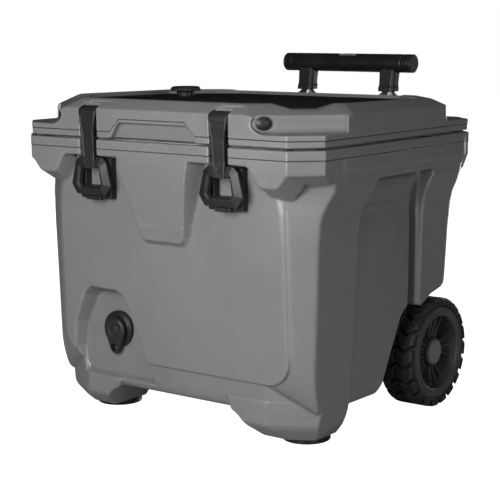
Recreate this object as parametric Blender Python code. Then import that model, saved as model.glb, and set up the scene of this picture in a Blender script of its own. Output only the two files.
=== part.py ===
"""Cooler on wheels: insulated tub, hinged and latched lid, pull-out handle and two wheels.

Frame: +X to the right of the front face, +Y to the back, +Z up, floor at z = 0.
Every length below is in millimetres and every angle in degrees; add_mesh turns them into metres.
"""
import math

import bmesh
import bpy
from mathutils import Matrix, Vector

MM = 0.001
GAP = 0.3  # clearance kept between pieces that touch
BURY = 3.0  # how far an added block runs into the body it joins
PAST = 20.0  # how far a cutter runs past the face that it opens
CORNER_SHARE = 0.4  # how much a cut corner shrinks as its outline is drawn in
SHY = 0.15  # keeps a cutting plane off the wall it would otherwise lie on
Y_SHIFT = -25.565  # puts the origin in the middle of the overall depth

# ---- tub ----
HALF_W = 275.0
HALF_D = 232.5
RIM_Z = 430.0
RIM_CHAMFER = 37.0
BODY_BOTTOM = 50.0
WALL = 4.0
PANEL_INSET_TOP = 29.5  # body wall behind the rim, at the top of the plain wall
PANEL_INSET_LOW = 39.0
PANEL_TOP_Z = 330.0
PANEL_LOW_Z = 98.0
BODY_CHAMFER = 41.0
TUB_LEVELS = (  # height, inset from the rim, corner chamfer
    (BODY_BOTTOM, 60.0, 46.0),
    (62.0, 48.0, 44.0),
    (PANEL_LOW_Z, PANEL_INSET_LOW, BODY_CHAMFER),
    (PANEL_TOP_Z, PANEL_INSET_TOP, 40.0),
    (347.0, 26.0, 40.0),
    (367.0, 20.0, 39.0),
    (374.0, 11.0, 38.5),
    (390.0, 7.5, 38.0),
    (396.5, 0.0, RIM_CHAMFER),
    (RIM_Z, 0.0, RIM_CHAMFER),
)
LEG_LEVELS = (  # height, x from, x to, y from, y to, corner chamfer
    (10.3, 143.0, 221.0, -147.0, -66.0, 16.0),
    (26.0, 136.0, 226.5, -178.0, -59.0, 26.0),
    (45.0, 129.0, 230.5, -187.5, -51.0, 36.0),
    (96.0, 120.0, 235.3, -192.8, -42.0, 40.0),
)
LEG_CORE_RISE, LEG_CORNER_SHARE = 14.0, 0.5
FOOT_X, FOOT_Y, FOOT_R, FOOT_H, FOOT_EDGE = 182.0, -106.0, 38.0, 10.0, 3.0
SHIELD_TOP_Z, SHIELD_LOW_Z = 407.0, 290.0
SHIELD_TOP_HALF, SHIELD_LOW_HALF = 66.0, 40.0
SHIELD_LOW_Y = -212.0
SHIELD_RISE, SHIELD_LOW_FLARE, SHIELD_TOP_FLARE, SHIELD_UNDER = 4.0, 3.0, 2.0, 4.0
LATCH_X = 121.5
LATCH_PAST = 30.0  # a latch pocket keeps widening this far past the rim
POCKET = (  # latch pocket under the rim, x and z on the right-hand side
    (67.0, 408.0), (170.0, 408.0), (191.0, 378.5), (207.0, 352.0), (207.0, 300.0), (38.0, 300.0),
)
CHANNEL_HALF, CHANNEL_Y, CHANNEL_LOW = 16.4, -218.0, 400.0
SIDE_PANEL = ((-64.0, 340.0), (-80.0, 318.0), (-92.0, 40.0), (30.0, 40.0), (98.0, 230.0), (104.0, 340.0))
SIDE_PANEL_DEPTH = 9.0
GRIP_POCKET = ((-27.0, 379.0), (-58.0, 336.0), (-58.0, 318.0), (86.0, 318.0), (118.0, 379.0))
GRIP_DEPTH_X = 222.0
DRAIN_POCKET = (
    (-158.0, 200.0), (-171.0, 188.0), (-191.0, 144.0), (-194.0, 104.0),
    (-178.0, 63.0), (-30.0, 63.0), (-44.0, 96.0), (-83.0, 182.0), (-106.0, 200.0),
)
DRAIN_FLOOR_Y = -170.0
WELL = (  # wheel well in side view
    (-6.0, 30.0), (-6.0, 49.0), (70.0, 168.0), (112.0, 171.0),
    (142.0, 184.0), (262.0, 194.0), (262.0, 30.0),
)
WELL_X = 173.0
SLOT_HALF_Y, SLOT_TOP, SLOT_X = 8.0, 95.0, 183.0  # axle slot in the tub's underside

# ---- liner ----
LINER_X, LINER_Y, LINER_Z = 200.0, 158.0, 122.0
LINER_T = 4.0
LINER_CHAMFER = 26.0
LINER_DRAFT = 5.0
FLANGE_OUT = 9.0  # how far the liner's flange stops short of the rim
FLANGE_T = 6.0
FLANGE_LAP = 1.0  # the skin's hollow runs on above the flange's underside
BUMP_X, BUMP_Y, BUMP_Z = 133.0, -28.0, 216.0

# ---- drain ----
DRAIN_X, DRAIN_Z = -117.0, 137.0
DRAIN_FLANGE_R, DRAIN_TUBE_R, DRAIN_BORE_R = 28.0, 13.0, 9.5
DRAIN_HEAD_R, DRAIN_TAIL, DRAIN_HOLE_R = 20.0, 27.0, 6.5
DRAIN_TAIL_R, DRAIN_HEAD_T, DRAIN_TANGENT = 10.5, 11.0, 22.0
DRAIN_HEAD_SIDES, DRAIN_TAIL_SIDES = 12, 6
DRAIN_FLANGE_T, DRAIN_GASKET_T, DRAIN_GASKET_R = 6.0, 2.0, 15.0
DRAIN_INNER_Y = -150.0
SHANK_GAP, SHANK_END = 0.5, 2.0

# ---- lid ----
LID_Z = 433.0
SLAB_Z = 450.0
LID_INSET = 1.5
BEVEL_Z = 474.0
LID_TOP = 487.0
NOTCH_IN = 45.0  # corner notch wall, behind the corner chamfer
BEVEL_IN = 26.0
REAR_STEP = 31.0
PAD_Z = 476.5
PAD_TOP = 479.5
PAD_X, PAD_Y, PAD_CHAMFER = 236.0, 190.0, 84.0
PAD_REAR = 178.0
LID_WALL = 3.5
PLUG_DEPTH = 14.0  # insulating plug that hangs into the tub
FINGER = ((-78.0, 425.0), (-66.0, 457.0), (66.0, 457.0), (78.0, 425.0))
FINGER_DEPTH = 14.0
PLUG_S, PLUG_Z, PLUG_R = 50.0, 463.5, 11.0

PLUG_RINGS = ((GAP, 0.0), (3.4, 1.0), (5.6, 4.5))  # how far out, how much smaller
PLUG_SQUASH = 0.86
RAISED_FROM = 4.0  # the raised middle starts inside the slab
TOP_CORNER = 10.0  # the raised middle's top is cut wider at its corners
LID_CHANNEL_Y, LID_CHANNEL_TOP = -214.0, 481.0
LID_LINER_T = 3.0
HANG_IN, HANG_DRAFT = 6.0, 6.0  # insulating plug inside the liner, and its taper
SEAL_IN, SEAL_OUT, SEAL_DEPTH = 7.0, 16.0, 1.2  # gasket groove round the liner's mouth

# ---- pressure release ----
KNOB_X, KNOB_Y = -162.0, 43.0
KNOB_R, KNOB_T, KNOB_EDGE = 24.0, 7.5, 1.5
SEAT_R, SEAT_RISE, SEAT_FLOOR, STEM_R = 15.0, 2.0, 1.5, 7.0
RELEASE_SEAL_R, RELEASE_SEAL_T = 12.5, 1.8

# ---- hinges ----
HINGE_Y, HINGE_Z, HINGE_X = 240.5, 431.5, 170.0
KNUCKLE_R, HINGE_PIN_R, KNUCKLE_L = 6.0, 2.5, 20.0
KNUCKLE_GAP = 0.6
LEAF_T, LEAF_LOW, LEAF_TOP, LEAF_LAP = 3.4, 402.0, 447.0, 1.0
WEB_HALF = 4.0

# ---- latches ----
PIN_Y, PIN_Z, PIN_R, STRAP_EYE_R = -222.5, 470.5, 3.0, 7.6
STRAP_T = 5.0
STRAP = (  # height, front face y, half width
    (471.0, -231.0, 15.2),
    (455.0, -236.5, 14.6),
    (440.0, -239.5, 11.6),
    (425.0, -240.5, 11.2),
    (412.0, -240.5, 12.4),
    (405.5, -240.5, 15.5),
)
RING_OUT = ((-24.0, 405.0), (-30.0, 399.0), (-36.0, 361.0), (-28.0, 347.0))
RING_HOLE = ((-13.0, 389.0), (-17.0, 384.0), (-20.0, 366.0), (-15.0, 359.5))
RING_FRONT, RING_T = -243.0, 9.5
KEEPER_HALF, KEEPER_TOP, KEEPER_LOW, KEEPER_EDGE = 24.0, 402.0, 344.0, 4.0
KEEPER_HOOK = (  # y and z of the hook's nose
    (-226.0, 363.0), (-232.5, 352.0), (-232.5, 380.0), (-226.0, 388.0),
)
PLATE_IN, PLATE_HALF, PLATE_OUT, PLATE_BACK, PLATE_T, PLATE_BORE_R = 12.0, 15.0, 6.0, 12.0, 2.0, 4.5

# ---- handle ----
LEAN = 7.0  # the posts lean back
POST_X = 81.0
BAR_Y, BAR_Z, BAR_R, BAR_HALF = 279.0, 529.0, 15.2, 122.0
CAP_T = 4.0
LEG_FOOT_Z = 483.0
SLEEVE_LOW_Z, SLEEVE_TOP_Z = 78.0, 478.5
MID_LOW_Z, MID_TOP_Z = 90.0, 480.2
TOP_LOW_Z = 100.0
LEG_SIZE = (30.0, 24.0)
SLEEVE_SIZE, SLEEVE_BORE = (32.0, 25.6), (28.2, 21.8)
MID_SIZE, MID_BORE = (27.6, 21.2), (24.2, 17.8)
TOP_SIZE = (23.6, 17.2)
YOKE_Z = (396.0, 424.0)
BASE_Z = (70.0, 122.0)
YOKE_HALF, YOKE_BACK = 108.0, 284.0
BASE_TUCK = 5.0
BASE_HALF, BASE_BACK_LOW, BASE_BACK_TOP = 106.0, 243.0, 249.0
SLEEVE_FLOOR, MID_FLOOR = 3.0, 2.0
BUTTON_HALF_X, BUTTON_HALF_Y, BUTTON_RISE, BUTTON_T = 17.5, 8.0, 9.6, 5.0
BUTTON_WELL = 6.0  # how far the button's well stays above the bar's middle

# ---- wheels ----
WHEEL_R, WHEEL_Y = 86.0, 162.0
WHEEL_IN, WHEEL_OUT = 186.0, 244.0
TYRE_INNER_R = 63.0
RIM_BORE_R = 8.0
AXLE_R = 7.7
AXLE_STEP, AXLE_BORE_R = 1.3, 0.8
AXLE_END, AXLE_NECK = 15.0, 4.0
TYRE_FLARE, TYRE_BEAD, SHOULDER_R, SHOULDER_X = 6.0, 5.0, 9.0, 7.0
RIM_LIP, RIM_HUB_IN = 6.0, 8.0
RIM_FACE = (  # how far in from the tyre's outer side, radius
    (14.0, 17.0), (20.0, 24.0), (15.0, 50.0), (4.0, 56.0),
)
RIM_WEB_X, RIM_WEB_R = 26.0, 20.0
HUB_R, HUB_IN, HUB_OUT = 19.0, 14.0, 8.0
CLAMP_X, CLAMP_HALF, CLAMP_FRONT, CLAMP_BACK, CLAMP_T, CLAMP_RISE = 120.0, 12.0, 28.0, 20.0, 3.5, 7.0
ROUND = 28  # sides of a round piece
FINE = 36  # sides of a tyre


def clear_scene():
    """Empty the scene."""
    for obj in list(bpy.data.objects):
        bpy.data.objects.remove(obj, do_unlink=True)


def paint(name, colour, roughness, metallic=0.0):
    """A Principled material."""
    mat = bpy.data.materials.new(name)
    mat.use_nodes = True
    node = next(n for n in mat.node_tree.nodes if n.type == "BSDF_PRINCIPLED")
    node.inputs["Base Color"].default_value = (*colour, 1.0)
    node.inputs["Roughness"].default_value = roughness
    node.inputs["Metallic"].default_value = metallic
    mat.diffuse_color = (*colour, 1.0)
    return mat


def add_mesh(name, verts, faces):
    """A closed mesh object from millimetre points, with its faces turned outward."""
    mesh = bpy.data.meshes.new(name)
    points = [((x) * MM, (y + Y_SHIFT) * MM, z * MM) for x, y, z in verts]
    mesh.from_pydata(points, [], faces)
    work = bmesh.new()
    work.from_mesh(mesh)
    bmesh.ops.recalc_face_normals(work, faces=work.faces)
    work.to_mesh(mesh)
    work.free()
    obj = bpy.data.objects.new(name, mesh)
    bpy.context.scene.collection.objects.link(obj)
    return obj


def stack(name, rings):
    """Skin a stack of equal-length rings and cap both ends."""
    count = len(rings[0])
    verts = [p for ring in rings for p in ring]
    faces = [list(range(count))[::-1], list(range(len(verts) - count, len(verts)))]
    for level in range(len(rings) - 1):
        low = level * count
        for i in range(count):
            j = (i + 1) % count
            faces.append([low + i, low + j, low + count + j, low + count + i])
    return add_mesh(name, verts, faces)


def outline(x0, x1, y0, y1, cut):
    """Rectangle with cut corners."""
    return [
        (x0 + cut, y0), (x1 - cut, y0), (x1, y0 + cut), (x1, y1 - cut),
        (x1 - cut, y1), (x0 + cut, y1), (x0, y1 - cut), (x0, y0 + cut),
    ]


def level_ring(z, half_x, half_y, cut):
    """Cut-corner rectangle about the middle, at one height."""
    return [(x, y, z) for x, y in outline(-half_x, half_x, -half_y, half_y, cut)]


def box(name, x0, x1, y0, y1, z0, z1):
    """Plain block."""
    rings = [[(x0, y0, z), (x1, y0, z), (x1, y1, z), (x0, y1, z)] for z in (z0, z1)]
    return stack(name, rings)


def prism_x(name, poly, x0, x1):
    """Side-view polygon (y, z) swept along X."""
    return stack(name, [[(x, y, z) for y, z in poly] for x in (x0, x1)])


def prism_y(name, poly, y0, y1):
    """Front-view polygon (x, z) swept along Y."""
    return stack(name, [[(x, y, z) for x, z in poly] for y in (y0, y1)])


def circle(radius, sides, turn=0.5):
    """Points of a round outline."""
    step = 2.0 * math.pi / sides
    angles = [(i + turn) * step for i in range(sides)]
    return [(radius * math.cos(a), radius * math.sin(a)) for a in angles]


def rod_x(name, x0, x1, y, z, radius, sides=ROUND):
    """Round bar along X."""
    return prism_x(name, [(y + a, z + b) for a, b in circle(radius, sides)], x0, x1)


def rod_y(name, x, z, y0, y1, radius, sides=ROUND):
    """Round bar along Y."""
    return prism_y(name, [(x + a, z + b) for a, b in circle(radius, sides)], y0, y1)


def rod_z(name, x, y, z0, z1, radius, sides=ROUND):
    """Round bar along Z."""
    return stack(name, [[(x + a, y + b, z) for a, b in circle(radius, sides)] for z in (z0, z1)])


def rod_z_rings(name, x, y, profile, sides=ROUND):
    """Round body about a vertical axis from (height, radius) pairs."""
    return stack(name, [[(x + a, y + b, z) for a, b in circle(r, sides)] for z, r in profile])


def lathe_x(name, profile, y, z, sides):
    """Ring about an X axis from a closed (x, radius) profile."""
    count = len(profile)
    verts, faces = [], []
    for i in range(sides):
        turn = 2.0 * math.pi * (i + 0.5) / sides
        verts += [(x, y + r * math.cos(turn), z + r * math.sin(turn)) for x, r in profile]
    for i in range(sides):
        here, there = i * count, ((i + 1) % sides) * count
        for k in range(count):
            m = (k + 1) % count
            faces.append([here + k, here + m, there + m, there + k])
    return add_mesh(name, verts, faces)


def grown(poly, amount):
    """Convex polygon moved outward by a set amount on every side."""
    area = sum(a[0] * b[1] - b[0] * a[1] for a, b in zip(poly, poly[1:] + poly[:1]))
    sign = 1.0 if area > 0 else -1.0
    out = []
    for i, here in enumerate(poly):
        before, after = poly[i - 1], poly[(i + 1) % len(poly)]
        u = Vector((here[0] - before[0], here[1] - before[1])).normalized()
        v = Vector((after[0] - here[0], after[1] - here[1])).normalized()
        nu, nv = Vector((u.y, -u.x)) * sign, Vector((v.y, -v.x)) * sign
        bisector = (nu + nv).normalized()
        reach = amount / max(bisector.dot(nu), 0.3)
        out.append((here[0] + bisector.x * reach, here[1] + bisector.y * reach))
    return out


def mirrored(poly):
    """The same polygon on the other side of the middle."""
    return [(-x, z) for x, z in reversed(poly)]


def hide_tool(obj):
    """Mark an object as a cutter, not a piece."""
    obj.hide_render = True
    obj.display_type = "WIRE"
    obj.name = "cut_" + obj.name


def combine(target, tool, operation):
    """Add, remove or keep the common part of a tool."""
    hide_tool(tool)
    mod = target.modifiers.new(tool.name, "BOOLEAN")
    mod.operation = operation
    mod.solver = "EXACT"
    mod.object = tool


def cut(target, *tools):
    """Remove tools from the target."""
    for tool in tools:
        combine(target, tool, "DIFFERENCE")


def join(target, *tools):
    """Add tools to the target."""
    for tool in tools:
        combine(target, tool, "UNION")


def bake(obj):
    """Turn the modifiers into plain mesh."""
    graph = bpy.context.evaluated_depsgraph_get()
    baked = bpy.data.meshes.new_from_object(obj.evaluated_get(graph))
    obj.modifiers.clear()
    obj.data = baked
    return obj


def finish(obj, material, pivot=None, smooth=False):
    """Give a piece its material and put its origin on its pivot."""
    bake(obj)
    obj.data.materials.clear()
    obj.data.materials.append(material)
    if pivot:
        at = Vector((pivot[0] * MM, (pivot[1] + Y_SHIFT) * MM, pivot[2] * MM))
        obj.data.transform(Matrix.Translation(-at))
        obj.location = at
    if smooth:
        obj.data.shade_smooth()
        obj.data.set_sharp_from_angle(angle=math.radians(35.0))
    return obj


# ---------------------------------------------------------------- tub
def tub_rings(wall, top, floor):
    """Outer shape of the tub drawn in by a wall."""
    rings = []
    for z, inset, chamfer in TUB_LEVELS:
        height = max(z, floor) if z == BODY_BOTTOM else min(z, top)
        half_x, half_y = HALF_W - inset - wall, HALF_D - inset - wall
        rings.append(level_ring(height, half_x, half_y, chamfer - wall * CORNER_SHARE))
    return rings


def leg(name, side, wall):
    """Corner leg that flares down to a foot."""
    rings = []
    for z, x0, x1, y0, y1, chamfer in LEG_LEVELS:
        if wall and z < LEG_LEVELS[1][0]:
            continue
        height = z + (LEG_CORE_RISE if wall and z == LEG_LEVELS[-1][0] else 0.0)
        ring = outline(x0 + wall, x1 - wall, y0 + wall, y1 - wall, chamfer - wall * LEG_CORNER_SHARE)
        rings.append([(side * x, y, height) for x, y in (ring if side > 0 else ring[::-1])])
    return stack(name, rings)


def wall_y(z):
    """Front face of the plain wall at a height."""
    slope = (PANEL_INSET_LOW - PANEL_INSET_TOP) / (PANEL_TOP_Z - PANEL_LOW_Z)
    return -(HALF_D - PANEL_INSET_TOP + (PANEL_TOP_Z - z) * -slope)


def latch_pocket(name, side, wall):
    """Space under the rim in front of the plain wall, where the pull ring hangs."""
    poly = grown(list(POCKET), wall)
    poly = poly if side > 0 else mirrored(poly)
    front = [(x, -HALF_D - LATCH_PAST, z) for x, z in poly]
    back = [(x, wall_y(z) + wall - SHY, z) for x, z in poly]
    return stack(name, [front, back])


def shield(name, wall):
    """Tapering plate in the middle of the front."""
    top, low = SHIELD_TOP_HALF - wall, SHIELD_LOW_HALF - wall
    top_z, low_z = SHIELD_TOP_Z + SHIELD_RISE, SHIELD_LOW_Z + wall
    ring_front = [
        (-low, SHIELD_LOW_Y + wall, low_z), (low, SHIELD_LOW_Y + wall, low_z),
        (top, -HALF_D + wall, top_z), (-top, -HALF_D + wall, top_z),
    ]
    back_low, back_top = wall_y(low_z) + BURY + wall, wall_y(top_z) + BURY + wall
    ring_back = [
        (-low - SHIELD_LOW_FLARE, back_low, low_z - SHIELD_UNDER),
        (low + SHIELD_LOW_FLARE, back_low, low_z - SHIELD_UNDER),
        (top + SHIELD_TOP_FLARE, back_top, top_z), (-top - SHIELD_TOP_FLARE, back_top, top_z),
    ]
    return stack(name, [ring_front, ring_back])


def side_prism(name, poly, side, x_in, x_out=HALF_W + PAST):
    """Side-view pocket between an inner plane and the outside."""
    return prism_x(name, poly, side * x_in, side * x_out)


def tub_hollows(tag, wall):
    """Every recess in the tub's outside, drawn out by a wall."""
    tools = []
    for side, word in ((1, "right"), (-1, "left")):
        tools.append(latch_pocket(f"{tag}_pocket_{word}", side, wall))
        x = side * LATCH_X
        tools.append(box(
            f"{tag}_channel_{word}", x - CHANNEL_HALF - wall, x + CHANNEL_HALF + wall,
            -HALF_D - PAST, CHANNEL_Y + wall, CHANNEL_LOW, RIM_Z + PAST))
        poly = grown(list(GRIP_POCKET), wall)
        tools.append(side_prism(f"{tag}_grip_{word}", poly, side, GRIP_DEPTH_X - wall))
        poly = grown(list(WELL), wall)
        tools.append(side_prism(f"{tag}_well_{word}", poly, side, WELL_X - wall))
    tools.append(prism_y(
        f"{tag}_drain", grown(list(DRAIN_POCKET), wall), -HALF_D - PAST, DRAIN_FLOOR_Y + wall))
    tools.append(box(
        f"{tag}_slot", -SLOT_X, SLOT_X, WHEEL_Y - SLOT_HALF_Y - wall,
        WHEEL_Y + SLOT_HALF_Y + wall, BODY_BOTTOM - PAST, SLOT_TOP + wall))
    return tools


def side_panels(tag, wall):
    """Shallow panels sunk in both sides, following the wall's draft."""
    tools = []
    for side, word in ((1, "right"), (-1, "left")):
        inner = []
        for y, z in grown(list(SIDE_PANEL), wall):
            inset = HALF_D + wall_y(z)
            inner.append((side * (HALF_W - inset - SIDE_PANEL_DEPTH - wall), y, z))
        outer = [(side * (HALF_W + PAST), y, z) for y, z in grown(list(SIDE_PANEL), wall)]
        tools.append(stack(f"{tag}_panel_{word}", [inner, outer]))
    return tools


def core(name, wall, top):
    """Solid that fills the tub's outer skin, to within a wall of the outside."""
    solid = stack(name, tub_rings(wall, top, BODY_BOTTOM + wall))
    for side, word in ((1, "right"), (-1, "left")):
        join(solid, leg(f"{name}_leg_{word}", side, wall))
    join(solid, shield(f"{name}_shield", wall))
    cut(solid, *tub_hollows(name, wall))
    cut(solid, *side_panels(name, wall))
    return bake(solid)


def liner_ring(z, grow):
    """Liner outline at a height, drawn out by a set amount."""
    share = (RIM_Z - z) / (RIM_Z - LINER_Z)
    shrink = LINER_DRAFT * share
    out = grow - shrink
    return level_ring(z, LINER_X + out, LINER_Y + out, LINER_CHAMFER + grow * CORNER_SHARE)


def bin_solid(name, grow, top):
    """Inside of the tub, drawn out by a set amount, with the humps over the wheels left out."""
    solid = stack(name, [liner_ring(LINER_Z - grow, grow), liner_ring(top, grow)])
    for side, word in ((1, "right"), (-1, "left")):
        x0, x1 = sorted((side * (BUMP_X + grow), side * (LINER_X + PAST)))
        cut(solid, box(
            f"{name}_bump_{word}", x0, x1, BUMP_Y + grow, LINER_Y + PAST, LINER_Z - PAST, BUMP_Z - grow))
    return bake(solid)


def build_tub(mats):
    """Skin, foam, liner and the fixed fittings of the tub."""
    shell = stack("tub_shell", tub_rings(0.0, RIM_Z, BODY_BOTTOM))
    for side, word in ((1, "right"), (-1, "left")):
        join(shell, leg(f"leg_{word}", side, 0.0))
    join(shell, shield("shield", 0.0))
    cut(shell, *tub_hollows("skin", 0.0))
    cut(shell, *side_panels("skin", 0.0))
    cut(shell, core("core", WALL, RIM_Z - FLANGE_T + FLANGE_LAP))
    mouth_x, mouth_y = HALF_W - FLANGE_OUT + GAP, HALF_D - FLANGE_OUT + GAP
    mouth_cut = RIM_CHAMFER - FLANGE_OUT * CORNER_SHARE
    lip = RIM_Z - FLANGE_T - GAP
    mouth = stack("mouth", [
        level_ring(lip, mouth_x, mouth_y, mouth_cut), level_ring(RIM_Z + PAST, mouth_x, mouth_y, mouth_cut)])
    for side, word in ((1, "right"), (-1, "left")):
        x = side * LATCH_X
        cut(mouth, box(
            f"mouth_keep_{word}", x - CHANNEL_HALF - WALL, x + CHANNEL_HALF + WALL,
            -HALF_D - PAST, CHANNEL_Y + WALL, CHANNEL_LOW - PAST, RIM_Z + 2.0 * PAST))
    cut(shell, bake(mouth))
    cut(shell, rod_y("bore_skin", DRAIN_X, DRAIN_Z, -HALF_D, -LINER_Y + 2.0 * PAST, DRAIN_TUBE_R + GAP))
    finish(shell, mats["shell"])

    foam = core("tub_foam", WALL + GAP, lip - GAP)
    foam.name = "tub_foam"
    foam.hide_render = False
    cut(foam, bin_solid("foam_bin", LINER_T + GAP, RIM_Z + PAST))
    cut(foam, rod_y("bore_foam", DRAIN_X, DRAIN_Z, -HALF_D, -LINER_Y + 2.0 * PAST, DRAIN_TUBE_R + GAP))
    finish(foam, mats["foam"])

    liner = bin_solid("tub_liner", LINER_T, RIM_Z)
    flange_x, flange_y = HALF_W - FLANGE_OUT, HALF_D - FLANGE_OUT
    flange = stack("flange", [
        level_ring(RIM_Z - FLANGE_T, flange_x, flange_y, mouth_cut),
        level_ring(RIM_Z, flange_x, flange_y, mouth_cut)])
    join(liner, flange)
    cut(liner, bin_solid("liner_bin", 0.0, RIM_Z + PAST))
    for side, word in ((1, "right"), (-1, "left")):
        x = side * LATCH_X
        cut(liner, box(
            f"liner_keep_{word}", x - CHANNEL_HALF - WALL - GAP, x + CHANNEL_HALF + WALL + GAP,
            -HALF_D - PAST, CHANNEL_Y + WALL + GAP, CHANNEL_LOW - PAST, RIM_Z + PAST))
    cut(liner, rod_y("bore_liner", DRAIN_X, DRAIN_Z, -HALF_D, -LINER_Y + 2.0 * PAST, DRAIN_TUBE_R + GAP))
    finish(liner, mats["liner"])

    for side, word in ((1, "right"), (-1, "left")):
        foot = rod_z_rings(
            f"foot_{word}", side * FOOT_X, FOOT_Y,
            ((0.0, FOOT_R - FOOT_EDGE), (FOOT_EDGE, FOOT_R), (FOOT_H, FOOT_R)))
        finish(foot, mats["rubber"], smooth=True)


def build_keepers(mats):
    """Latch keepers in the pockets and steel plates under the front corners."""
    for side, word in ((1, "right"), (-1, "left")):
        x = side * LATCH_X
        top, low = wall_y(KEEPER_TOP) - 2.0 * GAP, wall_y(KEEPER_LOW) - 2.0 * GAP
        keeper = prism_x(f"keeper_{word}", [
            (top, KEEPER_TOP), (low, KEEPER_LOW), (low - KEEPER_EDGE, KEEPER_LOW),
            (low - KEEPER_EDGE - 1.0, KEEPER_LOW + 3.0 * KEEPER_EDGE), *KEEPER_HOOK,
            (top - KEEPER_EDGE - 1.0, KEEPER_TOP - 2.5 * KEEPER_EDGE), (top - KEEPER_EDGE, KEEPER_TOP),
        ], x - KEEPER_HALF, x + KEEPER_HALF)
        finish(keeper, mats["hardware"])

        corner = Vector((side * (HALF_W - RIM_CHAMFER / 2 - PLATE_IN), -HALF_D + RIM_CHAMFER / 2 + PLATE_IN))
        along = Vector((side, 1.0)).normalized()
        inward = Vector((-side, 1.0)).normalized()
        ring = []
        for u, v in ((-PLATE_HALF, -PLATE_OUT), (PLATE_HALF, -PLATE_OUT),
                     (PLATE_HALF, PLATE_BACK), (-PLATE_HALF, PLATE_BACK)):
            spot = corner + along * u + inward * v
            ring.append((spot.x, spot.y))
        plate = stack(
            f"lock_plate_{word}", [[(px, py, z) for px, py in ring] for z in (RIM_Z + GAP, RIM_Z + PLATE_T)])
        cut(plate, rod_z(
            f"plate_bore_{word}", corner.x, corner.y, RIM_Z - PAST, RIM_Z + PAST, PLATE_BORE_R, 16))
        finish(plate, mats["steel"])


# ---------------------------------------------------------------- drain
def build_drain(mats):
    """Threaded fitting, its gasket and the screw plug with a teardrop lever."""
    front = DRAIN_FLOOR_Y - GAP
    fitting = rod_y("drain_fitting", DRAIN_X, DRAIN_Z, front - DRAIN_FLANGE_T, front, DRAIN_FLANGE_R, 32)
    join(fitting, rod_y(
        "drain_tube", DRAIN_X, DRAIN_Z, front - DRAIN_FLANGE_T / 2.0, DRAIN_INNER_Y, DRAIN_TUBE_R))
    cut(fitting, rod_y("drain_bore", DRAIN_X, DRAIN_Z, front - PAST, DRAIN_INNER_Y + PAST, DRAIN_BORE_R))
    finish(fitting, mats["hardware"], smooth=True)

    seat = front - DRAIN_FLANGE_T - GAP
    pivot = (DRAIN_X, seat, DRAIN_Z)
    gasket = rod_y("drain_gasket", DRAIN_X, DRAIN_Z, seat - DRAIN_GASKET_T, seat, DRAIN_GASKET_R)
    cut(gasket, rod_y("gasket_bore", DRAIN_X, DRAIN_Z, seat - PAST, seat + PAST, DRAIN_BORE_R))
    finish(gasket, mats["rubber"], pivot, smooth=True)

    face = seat - DRAIN_GASKET_T - GAP
    poly = []
    tangent = math.radians(DRAIN_TANGENT)
    for i in range(DRAIN_HEAD_SIDES + 1):
        turn = -tangent + (math.pi + 2.0 * tangent) * i / DRAIN_HEAD_SIDES
        poly.append((DRAIN_X + DRAIN_HEAD_R * math.cos(turn), DRAIN_Z + DRAIN_HEAD_R * math.sin(turn)))
    for i in range(DRAIN_TAIL_SIDES + 1):
        turn = math.pi + tangent + (math.pi - 2.0 * tangent) * i / DRAIN_TAIL_SIDES
        poly.append((
            DRAIN_X + DRAIN_TAIL_R * math.cos(turn), DRAIN_Z - DRAIN_TAIL + DRAIN_TAIL_R * math.sin(turn)))
    plug = prism_y("drain_plug", poly, face - DRAIN_HEAD_T, face)
    cut(plug, rod_y("plug_hole", DRAIN_X, DRAIN_Z - DRAIN_TAIL, face - PAST, face + PAST, DRAIN_HOLE_R, 16))
    join(plug, rod_y(
        "plug_shank", DRAIN_X, DRAIN_Z, face - BURY, -LINER_Y - SHANK_END, DRAIN_BORE_R - SHANK_GAP))
    finish(plug, mats["hardware"], pivot, smooth=True)


# ---------------------------------------------------------------- lid
def lid_outline(z, inset, front_back_in=0.0):
    """Slab outline at a height."""
    return level_ring(z, HALF_W - LID_INSET - inset, HALF_D - LID_INSET - inset - front_back_in,
                      RIM_CHAMFER - inset * CORNER_SHARE)


def raised_ring(z, inset, top=False):
    """Outline of the raised middle, with its corner notches cut across."""
    half_x, half_y = HALF_W - LID_INSET - inset, HALF_D - LID_INSET - inset
    rear = HALF_D - LID_INSET - REAR_STEP - inset / 2.0
    corner = RIM_CHAMFER + NOTCH_IN * math.sqrt(2.0) + (TOP_CORNER if top else 0.0) - inset / 5.0
    ring = outline(-half_x, half_x, -half_y, rear, corner)
    return [(x, y, z) for x, y in ring]


def lid_solid(name, wall):
    """Outer shape of the lid drawn in by a wall."""
    base = LID_Z - BURY if wall else LID_Z
    slab = stack(name, [lid_outline(base, wall), lid_outline(SLAB_Z - wall, wall)])
    raised = stack(f"{name}_raised", [
        raised_ring(LID_Z + RAISED_FROM, wall), raised_ring(BEVEL_Z - wall * CORNER_SHARE, wall),
        raised_ring(LID_TOP - wall, BEVEL_IN + wall / 2.0, True)])
    join(slab, raised)
    for side, word in ((1, "right"), (-1, "left")):
        x = side * LATCH_X
        cut(slab, box(
            f"{name}_channel_{word}", x - CHANNEL_HALF - wall, x + CHANNEL_HALF + wall,
            -HALF_D - PAST, LID_CHANNEL_Y + wall, LID_Z - PAST, LID_CHANNEL_TOP + wall))
    poly = grown(list(FINGER), wall)
    cut(slab, prism_y(f"{name}_finger", poly, -HALF_D - PAST, -HALF_D + FINGER_DEPTH + wall))
    recess = outline(-PAD_X - wall, PAD_X + wall, -PAD_Y - wall, PAD_REAR + wall, PAD_CHAMFER)
    cut(slab, stack(
        f"{name}_recess", [[(x, y, z) for x, y in recess] for z in (PAD_Z - wall, LID_TOP + PAST)]))
    return slab


def seal_ring(z, out):
    """Outline round the liner's mouth, for the gasket and its groove."""
    return level_ring(z, LINER_X + out, LINER_Y + out, LINER_CHAMFER + out * CORNER_SHARE)


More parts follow.
